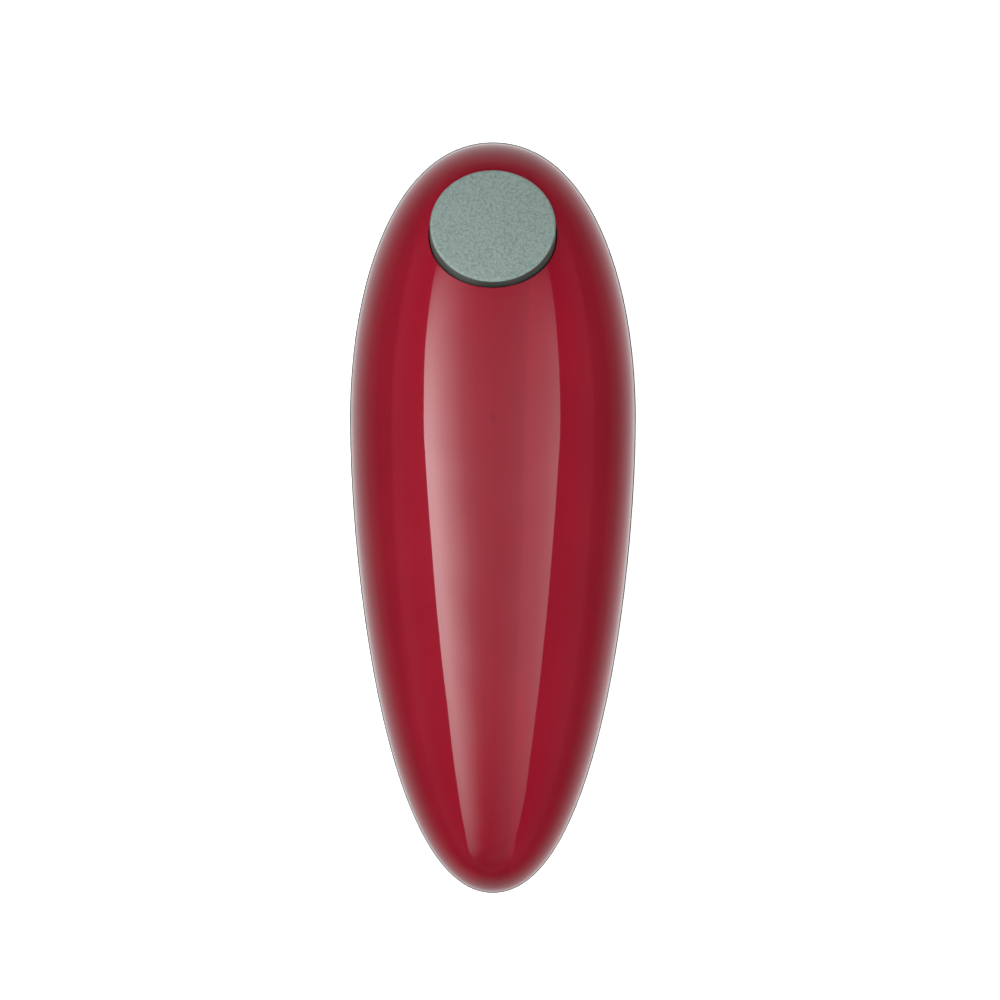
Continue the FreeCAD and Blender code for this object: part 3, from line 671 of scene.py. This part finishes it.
def polish(item: bpy.types.Object, skins: list[tuple[Egg, float]], slack: float = 0.0035,
           likeness: float = 0.97) -> None:
    """Give a mesh the true directions of the eggs that it follows, so that its reflections run clean.

    Args:
        item: the mesh object, its points in the row frame.
        skins: (egg, 1 for its outside or -1 for its inside).
        slack: how far off an egg a corner may lie, as a share of the half width.
        likeness: how nearly its face has to look the egg's way, as a cosine.
    """
    mesh = item.data
    points = np.empty(len(mesh.vertices) * 3)
    mesh.vertices.foreach_get("co", points)
    points = points.reshape(-1, 3) / MM
    corners = np.empty(len(mesh.loops), dtype=int)
    mesh.loops.foreach_get("vertex_index", corners)
    shading = np.empty(len(mesh.loops) * 3)
    mesh.corner_normals.foreach_get("vector", shading)
    shading = shading.reshape(-1, 3)
    flat = np.empty(len(mesh.polygons) * 3)
    mesh.polygons.foreach_get("normal", flat)
    flat = flat.reshape(-1, 3)
    owner = np.empty(len(mesh.loops), dtype=int)
    for polygon in mesh.polygons:
        owner[polygon.loop_start:polygon.loop_start + polygon.loop_total] = polygon.index
    for egg, sense in skins:
        aims, off = egg.aim(points)
        aims = aims[corners] * sense
        close = (off[corners] < slack) & ((aims * flat[owner]).sum(1) > likeness)
        shading[close] = aims[close]
    mesh.normals_split_custom_set(shading.tolist())


@dataclass
class ButtonSeat:
    """The tilted axis on which the button, its hole, spring and switch all sit."""

    tilt: float = 26.0
    y: float = 76.8
    z: float = 50.4
    hole: float = 17.05

    def frame(self) -> Matrix:
        """The seat's own frame, +Z out along the button's axis, in metres."""
        lean = Matrix.Rotation(math.radians(-self.tilt), 4, "X")
        return Matrix.Translation(Vector((0.0, self.y, self.z)) * MM) @ lean

    def outward(self) -> Vector:
        """The direction in which the button points."""
        return self.frame().to_3x3() @ Vector((0.0, 0.0, 1.0))

    def seat(self, item: bpy.types.Object) -> bpy.types.Object:
        """Move a mesh made about the upright axis to the seat."""
        item.data.transform(self.frame())
        return item


@dataclass
class TopShell:
    """The glossy dome, with the collar that guides the button and the bosses for the case screws.

    Lengths are in mm.  `step` is how far the dome stands in from the lower half at the seam, `lip` the break of its
    edge as a share of the half width, and `along` and `across` are the points of its net.  The bosses beyond
    `head_bosses_from` end at `head_boss_top`, under the button; the others run up into the dome.  The screws' pilot
    holes start `pilot_start` under the bosses' feet.  Edges sharper than `crease` degrees stay crisp.
    """

    seat: ButtonSeat
    lacquer: bpy.types.Material
    wall: float = 2.5
    step: float = 0.25
    height: float = 38.0
    lip: float = 0.006
    along: int = 150
    across: int = 150
    collar_wall: float = 1.8
    collar_depth: float = 9.0
    hole_reach: float = 30.0
    boss_radius: float = 3.4
    boss_foot: float = 22.0
    head_boss_top: float = 32.0
    roof_boss_top: float = 60.0
    head_bosses_from: float = 50.0
    pilot_radius: float = 1.5
    pilot_start: float = 2.0
    pilot_top: float = 28.1
    fittings_inset: float = 1.2
    trim_net: int = 60
    crease: float = 30.0
    bosses: tuple[Spot, ...] = ((17.0, 84.0), (-17.0, 84.0), (29.0, 8.0), (-29.0, 8.0), (0.0, -80.0))

    def skins(self) -> tuple[Egg, Egg]:
        """The dome's outside and inside."""
        return Egg(self.step, self.height), Egg(self.step + self.wall, self.height - self.wall)

    def dome(self, name: str, hollow: bool, inset: float = 0.0) -> bpy.types.Object:
        """The dome as a shell, or as a full half egg.

        Args:
            name: the object's name.
            hollow: make the shell.
            inset: how much the full half egg is drawn in, in mm.

        Returns:
            The object.
        """
        if not hollow:
            grid = Egg(self.step + inset, self.height - inset).skin(self.trim_net, self.trim_net)
            rows, columns = grid.shape[:2]
            left = [r * columns for r in range(rows)]
            right = [r * columns + columns - 1 for r in range(rows - 2, 0, -1)]
            return solid(name, grid.reshape(-1, 3), [*net(rows, columns), (*left, *right)])
        outer, inner = self.skins()
        skins = [outer.skin(self.along, self.across, lip=self.lip), inner.skin(self.along, self.across)]
        rows, columns = skins[0].shape[:2]
        count = rows * columns
        faces = net(rows, columns) + net(rows, columns, count)
        for edge in (0, columns - 1):
            for r in range(rows - 1):
                a, b = r * columns + edge, (r + 1) * columns + edge
                faces.append((a, b, b + count, a + count))
        return solid(name, np.concatenate([s.reshape(-1, 3) for s in skins]), faces)

    def build(self) -> bpy.types.Object:
        """Make and dress the dome.

        Returns:
            The piece, riding on the case.
        """
        shell = self.dome("top_shell_gloss", hollow=True)
        collar = self.seat.seat(rod("collar", self.seat.hole + self.collar_wall, -self.collar_depth,
                                    self.collar_depth, sides=128))
        tops = [self.head_boss_top if y > self.head_bosses_from else self.roof_boss_top for _, y in self.bosses]
        fittings = merged([rod("boss", self.boss_radius, self.boss_foot, top, sides=48, at=(x, y, 0.0))
                           for (x, y), top in zip(self.bosses, tops)])
        carve(fittings, collar, Shaping.JOIN)
        carve(fittings, self.dome("trim", hollow=False, inset=self.fittings_inset), Shaping.TRIM)
        carve(shell, fittings, Shaping.JOIN)
        hole = self.seat.seat(rod("hole", self.seat.hole, -self.hole_reach, self.hole_reach, sides=192))
        carve(shell, hole, Shaping.CUT)
        pilots = [rod("pilot", self.pilot_radius, self.boss_foot - self.pilot_start, self.pilot_top, sides=32,
                      at=(x, y, 0.0)) for x, y in self.bosses]
        carve(shell, merged(pilots), Shaping.CUT)
        soften(shell, self.crease)
        outer, inner = self.skins()
        polish(shell, [(outer, 1.0), (inner, -1.0)])
        dress(shell, self.lacquer)
        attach(shell, "case")
        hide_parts("top_shell")
        report(shell, "case")
        return shell


@dataclass
class PushButton:
    """The round push button: a crowned, grained face with a rounded rim, a skirt and the post over the switch.

    Heights are along the button's axis, from the middle of its seat.  A face takes the darker `side` material where
    the cosine between it and the axis is under `side_slope`, and the grain elsewhere: that darker green on the side
    wall is painted shade from the hole round the button, not a different plastic.
    """

    seat: ButtonSeat
    grain: bpy.types.Material
    # side: painted shade, a darker plain green standing for the shade that the hole casts on the button's side wall
    side: bpy.types.Material
    side_slope: float = 0.55
    radius: float = 16.7
    rise: float = 1.0
    crown: float = 0.9
    edge: float = 1.0
    skirt: float = 6.0
    wall: float = 1.6
    roof: float = 1.7
    post_radius: float = 2.5
    post_depth: float = 10.4
    foot_round: float = 0.25
    bore_break: float = 0.2
    inner_round: float = 0.4

    def profile(self) -> Profile:
        """The button's section from the top of its axis to the foot of its post."""
        flat = self.radius - self.edge
        bulge = (flat ** 2 + self.crown ** 2) / (2 * self.crown)
        top = self.rise + self.crown
        face = [(r, top - bulge + math.sqrt(bulge ** 2 - r ** 2)) for r in np.linspace(0.0, flat, 40)]
        rim = arc((flat, self.rise - self.edge), self.edge, 88.0, 0.0, 9)
        under, bore = self.rise - self.roof, self.radius - self.wall
        foot, inner = self.foot_round, self.inner_round
        skirt = arc((self.radius - foot, -self.skirt + foot), foot, 0.0, -90.0, 4)
        post = arc((self.post_radius - inner, -self.post_depth + inner), inner, 0.0, -90.0, 4)
        return [*face, *rim, *skirt, (bore + self.bore_break, -self.skirt), (bore, -self.skirt + self.bore_break),
                (bore, under - inner), (bore - inner, under), (self.post_radius + inner, under),
                (self.post_radius, under - inner), *post, (0.0, -self.post_depth)]

    def build(self) -> bpy.types.Object:
        """Make and dress the button.

        Returns:
            The piece, riding on the button body.
        """
        cap = self.seat.seat(turned("push_button_cap", self.profile(), sides=192))
        dress(cap, self.grain)
        # Faces turned away from the button's axis take the darker material: painted shade on the side wall inside the
        # hole.
        cap.data.materials.append(self.side)
        out = self.seat.outward()
        for face in cap.data.polygons:
            if face.normal.dot(out) < self.side_slope:
                face.material_index = 1
        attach(cap, "button")
        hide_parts("button_cap")
        report(cap, "button")
        return cap


@dataclass
class Springs:
    """The coil springs under the button, over the magnet and behind the cells, wound from round wire.

    `wire` is the wire's radius.  The radii are those of the coils' centre lines, the heights of the button spring are
    along the button's axis, and the `_turns` say how often each spring goes round.
    """

    seat: ButtonSeat
    steel: bpy.types.Material
    wire: float = 0.3
    flat_turns: float = 0.8
    end_climb: float = 0.6
    steps: int = 36
    button_radius: float = 6.0
    button_foot: float = -11.5
    button_top: float = -0.7
    button_turns: float = 6.0
    button_travel: float = 2.0
    magnet_radius: float = 5.0
    magnet_y: float = 87.0
    magnet_foot: float = 10.0
    magnet_top: float = 15.0
    magnet_turns: float = 4.0
    magnet_travel: float = 2.5
    contact_radius: float = 3.5
    contact_length: float = 4.7
    contact_turns: float = 3.0
    contact_x: float = 7.4
    contact_inset: float = 3.8

    def helix(self, radius: float, low: float, high: float, turns: float) -> np.ndarray:
        """The centre line of a compression spring whose end turns lie flat.

        Args:
            radius: of the coil's centre line.
            low: height of its foot.
            high: height of its top.
            turns: how often it goes round.

        Returns:
            N x 3 points in mm about the upright axis.
        """
        t = np.linspace(0.0, 1.0, int(turns * self.steps) + 1)
        flat = self.flat_turns / turns
        climb = np.clip((t - flat) / (1.0 - 2.0 * flat), 0.0, 1.0)
        ends = np.minimum(t / flat, 1.0) + np.clip((t - 1.0 + flat) / flat, 0.0, 1.0)
        across = 2.0 * self.wire
        rise = self.end_climb * across
        z = low + self.wire + climb * (high - low - across - 2.0 * rise) + ends * rise
        turn = 2.0 * math.pi * turns * t
        return np.stack([radius * np.cos(turn), radius * np.sin(turn), np.minimum(z, high - self.wire)], axis=1)

    def finish(self, piece: bpy.types.Object, node: str) -> bpy.types.Object:
        """Dress a spring, seat it on the case and let it stand for its CAD node."""
        dress(piece, self.steel)
        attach(piece, "case")
        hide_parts(node)
        report(piece, "case")
        return piece

    def build(self) -> list[bpy.types.Object]:
        """Make the springs.

        Returns:
            The pieces.
        """
        line = self.helix(self.button_radius, self.button_foot, self.button_top, self.button_turns)
        under_button = self.seat.seat(swept("button_spring_wound", line, self.wire))
        self.finish(under_button, "button_spring")
        foot = self.seat.frame() @ Vector((0.0, 0.0, self.button_foot * MM))
        self.seat.outward()
        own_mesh(under_button)
        line = self.helix(self.magnet_radius, self.magnet_foot, self.magnet_top, self.magnet_turns)
        over_magnet = swept("magnet_spring_wound", line + (0.0, self.magnet_y, 0.0), self.wire)
        self.finish(over_magnet, "magnet_spring")
        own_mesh(over_magnet)
        return [under_button, over_magnet, self.contacts()]

    def contacts(self) -> bpy.types.Object:
        """Make the four springs behind the cells, the upper pair at the other ends than the lower pair.

        Returns:
            The piece.
        """
        lo, hi = (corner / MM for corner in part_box("contact_springs"))
        coils = []
        for x in (-1.0, 1.0):
            for lower, z in ((True, lo.z + self.contact_inset), (False, hi.z - self.contact_inset)):
                line = self.helix(self.contact_radius, 0.0, self.contact_length, self.contact_turns)
                y = lo.y + line[:, 2] if (x > 0) == lower else hi.y - line[:, 2]
                spot = np.stack([line[:, 0] + x * self.contact_x, y, line[:, 1] + z], axis=1)
                coils.append(swept("contact_coil", spot, self.wire))
        piece = merged(coils)
        piece.name = "contact_springs_wound"
        soften(piece)
        return self.finish(piece, "contact_springs")


# ---------------------------------------------------------------- the pieces kept from the CAD


@dataclass
class Dressing:
    """Finishes for the CAD nodes whose shapes already stand as they are."""

    nodes: dict[str, bpy.types.Object]
    drive_axis: Spot = (0.0, 62.0)
    turret_axis: Spot = (0.0, 39.1)
    cutter_axis: Spot = (-7.0, 39.1)
    motor_axis: Spot = (0.0, 5.2)
    magnet_axis: Spot = (0.0, 87.0)
    gear_tones: Tones = ((0.40, 0.40, 0.42, 1.0), (0.56, 0.56, 0.58, 1.0))
    brass_tones: Tones = ((0.58, 0.40, 0.16, 1.0), (0.76, 0.56, 0.26, 1.0))
    nickel_tones: Tones = ((0.56, 0.54, 0.50, 1.0), (0.74, 0.72, 0.68, 1.0))

    def put(self, material: bpy.types.Material, *names: str) -> None:
        """Give several CAD nodes one finish."""
        for name in names:
            dress(self.nodes[name], material)
            log.info("%-26s keeps its CAD shape, in %s", name, material.name)

    def build(self) -> None:
        """Dress every CAD node that stays in view."""
        self.plastics()
        self.sheets_and_wire()
        self.lathe_work()
        self.cells()

    def plastics(self) -> None:
        """The lower half of the case, the black and nylon mouldings and the board."""
        case = Moulded("satin_grey_case", (0.105, 0.098, 0.098, 1.0), (0.128, 0.120, 0.119, 1.0), rough=0.44,
                       grain=0.3, depth=0.012, drift=30.0)
        self.put(case.material(), "lower_housing", "battery_door")
        black = Moulded("satin_black", (0.014, 0.014, 0.015, 1.0), (0.022, 0.022, 0.023, 1.0), rough=0.42, grain=0.3,
                        depth=0.015)
        self.put(black.material(), "switch_bracket", "switch_body", "motor_end_cap", "cutter_turret", "magnet_float")
        nylon = Moulded("natural_nylon", (0.66, 0.64, 0.56, 1.0), (0.74, 0.72, 0.66, 1.0), rough=0.38, grain=0.5,
                        depth=0.01, drift=9.0, level=0.45, glow=0.15)
        self.put(nylon.material(), "first_gear", "second_gear", "third_gear", "switch_plunger")
        board = Moulded("solder_mask", (0.010, 0.090, 0.045, 1.0), (0.014, 0.115, 0.060, 1.0), rough=0.28, grain=0.8,
                        depth=0.01, drift=5.0, level=0.5)
        self.put(board.material(), "switch_board")

    def sheets_and_wire(self) -> None:
        """The plates, the drawn can and pins, and the screws."""
        zinc = Rolled("zinc_plate", (0.50, 0.51, 0.52, 1.0), (0.66, 0.67, 0.68, 1.0), rough=0.30)
        self.put(zinc.material(), "base_plate", "top_plate", "motor_plate", "spindle_bridge", "turret_keeper",
                 "contact_plates", "turret_clip")
        drawn = Rolled("drawn_steel", (0.46, 0.46, 0.47, 1.0), (0.60, 0.60, 0.62, 1.0), rough=0.24,
                       along=(1.0, 1.0, 0.04))
        self.put(drawn.material(), "motor_can", "gearbox_posts", "motor_posts", "motor_shaft", "first_gear_pin",
                 "second_gear_pin", "third_gear_pin", "clutch_spring")
        screws = Rolled("screw_zinc", (0.40, 0.41, 0.43, 1.0), (0.60, 0.61, 0.63, 1.0), rough=0.26,
                        along=(1.0, 1.0, 1.0), line=0.15)
        self.put(screws.material(), "housing_screws", "gearbox_screws")

    def lathe_work(self) -> None:
        """The steel gears, the hardened wheels, the brass and the lid magnet."""
        self.put(Turned("hobbed_steel", self.drive_axis, *self.gear_tones, rough=0.30).material(), "drive_gear")
        self.put(Turned("clutch_steel", self.turret_axis, *self.gear_tones, rough=0.30).material(), "clutch_gear")
        self.put(Turned("hardened_drive", self.drive_axis).material(), "drive_wheel", "drive_spindle",
                 "drive_wheel_screw")
        self.put(Turned("hardened_cutter", self.cutter_axis, rough=0.14).material(), "cutter_wheel", "cutter_pin")
        self.put(Turned("turned_brass", self.motor_axis, *self.brass_tones, rough=0.24).material(), "motor_pinion")
        self.put(Turned("bush_brass", self.drive_axis, *self.brass_tones, rough=0.26).material(), "spindle_bush")
        self.put(Turned("nickel", self.magnet_axis, *self.nickel_tones, rough=0.12, pitch=0.5).material(),
                 "lid_magnet")

    def cells(self) -> None:
        """The four cells, each pair laid head to tail."""
        for name, plus_high in (("cell_left_lower", False), ("cell_right_lower", True), ("cell_left_upper", True),
                                ("cell_right_upper", False)):
            lo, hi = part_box(name)
            self.put(Sleeve(f"sleeve_{name}", lo.y / MM, hi.y / MM, plus_high).material(), name)


# ---------------------------------------------------------------- studio


@dataclass
class Studio:
    """A plain pale floor, one long soft box overhead, soft fill, and the camera straight above.

    `camera_at`, `lens`, `sensor` and `plan` are in mm, everything else in metres.  Each row of `box_outline` is the
    box's y, its left and right edge and its brightness there; `box_glow` is the brightness from the left edge to the
    right.  `plan` is half the opener's size seen from above; `floor_glow` is how bright the floor shows in the gloss,
    from the opener's outline out to `glow_reach` times its size.
    """

    camera_at: Point = (1.9, 4.7, 3200.0)
    lens: float = 429.5
    sensor: float = 36.0
    box_height: float = 1.10
    box_outline: tuple[tuple[float, float, float, float], ...] = (
        (1.38, -1.87, 1.74, 0.00), (0.81, -1.80, 1.67, 0.35), (0.46, -1.77, 1.61, 0.62), (0.19, -1.70, 1.60, 0.80),
        (-0.03, -1.68, 1.59, 0.93), (-0.12, -1.60, 1.51, 1.00), (-0.32, -1.44, 1.36, 0.92),
        (-0.51, -1.34, 1.25, 0.81), (-0.75, -1.25, 1.17, 0.62), (-0.98, -1.28, 1.16, 0.53),
        (-1.34, -1.36, 1.24, 0.38), (-2.36, -1.73, 1.39, 0.21), (-7.00, -3.90, 3.30, 0.03))
    sky_in_gloss: float = 0.12
    lamps: tuple[tuple[str, Point, float, float], ...] = (
        ("top_fill", (-0.45, 0.1, 1.3), 34.0, 1.4), ("fill_left", (-1.5, -0.2, 0.5), 9.0, 1.2),
        ("fill_right", (1.5, -0.2, 0.5), 13.0, 1.2), ("fill_under", (0.0, 0.0, -1.4), 12.0, 2.0))
    floor_size: float = 14.0
    floor_tone: Colour = (0.92, 0.92, 0.92, 1.0)
    floor_lift: float = 0.80
    plan: Spot = (38.0, 100.0)
    glow_reach: float = 5.0
    floor_glow: tuple[Spot, ...] = ((0.0, 0.90), (0.16, 0.50), (0.36, 0.18), (0.80, 0.04))
    horizon: tuple[float, Colour] = (0.10, (0.93, 0.93, 0.94, 1.0))
    ceiling: tuple[float, Colour] = (0.32, (0.30, 0.30, 0.31, 1.0))
    box_glow: tuple[Spot, ...] = (
        (0.00, 7.6), (0.11, 7.1), (0.17, 5.9), (0.24, 4.1), (0.31, 2.50), (0.37, 1.25), (0.44, 0.68), (0.53, 0.60),
        (0.62, 0.90), (0.71, 1.30), (0.83, 1.70), (0.92, 2.20), (1.00, 2.40))

    def floor(self) -> bpy.types.Object:
        """The pale surface that the opener lies on.

        It is clear when seen from below and casts no shadow, and it shows in the gloss as a glow round the opener
        that fades outwards.

        Returns:
            The stage piece.
        """
        bpy.ops.mesh.primitive_plane_add(size=self.floor_size, location=(0.0, 0.0, 0.0))
        item = bpy.context.object
        item.name = "pale_floor"
        bench = Bench("pale_floor")
        rays = bench.node("ShaderNodeLightPath").outputs
        bench.surface(
            Base_Color=self.floor_tone, Roughness=0.9, Specular_IOR_Level=0.0, Emission_Color=(1.0, 1.0, 1.0, 1.0),
            Emission_Strength=bench.span(rays["Is Camera Ray"], 0.0, self.floor_lift, 0.0, 1.0))
        stretch = (1.0 / (self.plan[0] * MM), 1.0 / (self.plan[1] * MM), 0.0)
        reach = bench.node("ShaderNodeVectorMath", Vector=bench.place(stretch))
        reach.operation = "LENGTH"
        far = bench.span(reach.outputs["Value"], 0.0, 1.0, 1.0, self.glow_reach)
        greys = [(at, (glow, glow, glow, 1.0)) for at, glow in self.floor_glow]
        dim = bench.node("ShaderNodeEmission", Color=bench.ramp(far, greys))
        softer = bench.node("ShaderNodeMixShader", Fac=rays["Is Glossy Ray"])
        bench.feed(softer.inputs[1], bench.shader.outputs[0])
        bench.feed(softer.inputs[2], dim.outputs[0])
        unseen = bench.node("ShaderNodeMath")
        unseen.operation = "MAXIMUM"
        bench.feed(unseen.inputs[0], bench.node("ShaderNodeNewGeometry").outputs["Backfacing"])
        bench.feed(unseen.inputs[1], rays["Is Shadow Ray"])
        both = bench.node("ShaderNodeMixShader", Fac=unseen.outputs[0])
        bench.feed(both.inputs[1], softer.outputs[0])
        bench.feed(both.inputs[2], bench.node("ShaderNodeBsdfTransparent").outputs[0])
        bench.feed(bench.tree.nodes["Material Output"].inputs["Surface"], both.outputs[0])
        dress(item, bench.material)
        return item

    def soft_box(self) -> bpy.types.Object:
        """The long overhead light, brightest along its left edge.

        Returns:
            The stage piece.
        """
        rows = self.box_outline
        mesh = bpy.data.meshes.new("soft_box")
        mesh.from_pydata([(x, y, self.box_height) for y, left, right, _ in rows for x in (left, right)], [],
                         [(2 * r + 2, 2 * r, 2 * r + 1, 2 * r + 3) for r in range(len(rows) - 1)])
        across = mesh.uv_layers.new(name="across")
        for loop in mesh.loops:
            row, side = divmod(loop.vertex_index, 2)
            across.data[loop.index].uv = (side, rows[row][3])
        item = bpy.data.objects.new("soft_box", mesh)
        bpy.context.scene.collection.objects.link(item)
        bench = Bench("soft_box_light")
        share = bench.node("ShaderNodeSeparateXYZ", Vector=bench.node("ShaderNodeUVMap").outputs[0])
        top = max(glow for _, glow in self.box_glow)
        stops = [(at, (glow / top, glow / top, glow / top, 1.0)) for at, glow in self.box_glow]
        power = bench.span(share.outputs["Y"], 0.0, top, 0.0, 1.0)
        light = bench.node("ShaderNodeEmission", Color=bench.ramp(share.outputs["X"], stops), Strength=power)
        bench.feed(bench.tree.nodes["Material Output"].inputs["Surface"], light.outputs[0])
        dress(item, bench.material)
        item.visible_camera = item.visible_diffuse = False
        return item

    def fill(self) -> None:
        """Broad even lights that brighten surfaces without showing in their gloss."""
        for name, spot, watts, size in self.lamps:
            data = bpy.data.lights.new(name, "AREA")
            data.energy, data.size, data.shape = watts, size, "SQUARE"
            lamp = bpy.data.objects.new(name, data)
            lamp.location = spot
            lamp.rotation_mode = "QUATERNION"
            lamp.rotation_quaternion = (-Vector(spot)).to_track_quat("-Z", "Y")
            lamp.visible_camera = lamp.visible_glossy = False
            bpy.context.scene.collection.objects.link(lamp)

    def sky(self) -> None:
        """A pale horizon under a darker ceiling."""
        world = bpy.data.worlds.new("studio")
        bpy.context.scene.world = world
        world.use_nodes = True
        tree = world.node_tree
        where = tree.nodes.new("ShaderNodeTexCoord")
        split = tree.nodes.new("ShaderNodeSeparateXYZ")
        ramp = tree.nodes.new("ShaderNodeValToRGB")
        tree.links.new(where.outputs["Generated"], split.inputs[0])
        tree.links.new(split.outputs["Z"], ramp.inputs[0])
        elements = ramp.color_ramp.elements
        elements[0].position, elements[0].color = self.horizon
        elements[1].position, elements[1].color = self.ceiling
        back = tree.nodes["Background"]
        tree.links.new(ramp.outputs[0], back.inputs[0])
        gloss = tree.nodes.new("ShaderNodeMapRange")
        gloss.inputs["To Min"].default_value, gloss.inputs["To Max"].default_value = 1.0, self.sky_in_gloss
        tree.links.new(tree.nodes.new("ShaderNodeLightPath").outputs["Is Glossy Ray"], gloss.inputs["Value"])
        tree.links.new(gloss.outputs["Result"], back.inputs[1])

    def camera(self) -> bpy.types.Object:
        """The camera above the opener, the head at the top of its view.

        Returns:
            The camera.
        """
        data = bpy.data.cameras.new("camera")
        data.lens, data.sensor_width = self.lens, self.sensor
        item = bpy.data.objects.new("camera", data)
        item.location = Vector(self.camera_at) * MM
        bpy.context.scene.collection.objects.link(item)
        bpy.context.scene.camera = item
        return item

    def build(self) -> None:
        """Set the whole studio."""
        self.floor()
        self.soft_box()
        self.fill()
        self.sky()
        self.camera()
        bpy.context.scene.view_settings.view_transform = "Standard"
        log.info("studio set")


def main() -> None:
    """Build the opener's looks piece by piece, then the studio."""
    logging.basicConfig(level=logging.INFO, format="%(message)s")
    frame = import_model()
    seat = ButtonSeat()
    TopShell(seat, Lacquer().material()).build()
    # The button's side wall in a darker green: painted shade from the hole round the button.
    side = Moulded("button_side_painted_shade", (0.044, 0.066, 0.057, 1.0), (0.060, 0.086, 0.074, 1.0), rough=0.34,
                   grain=0.3, depth=0.008)
    PushButton(seat, LeatherGrain().material(), side.material()).build()
    wire = Rolled("spring_wire", (0.45, 0.45, 0.46, 1.0), (0.62, 0.62, 0.64, 1.0), rough=0.2,
                  along=(1.0, 1.0, 1.0), line=0.2)
    Springs(seat, wire.material()).build()
    Dressing(frame["nodes"]).build()
    Studio().build()


if __name__ == "__main__":
    main()
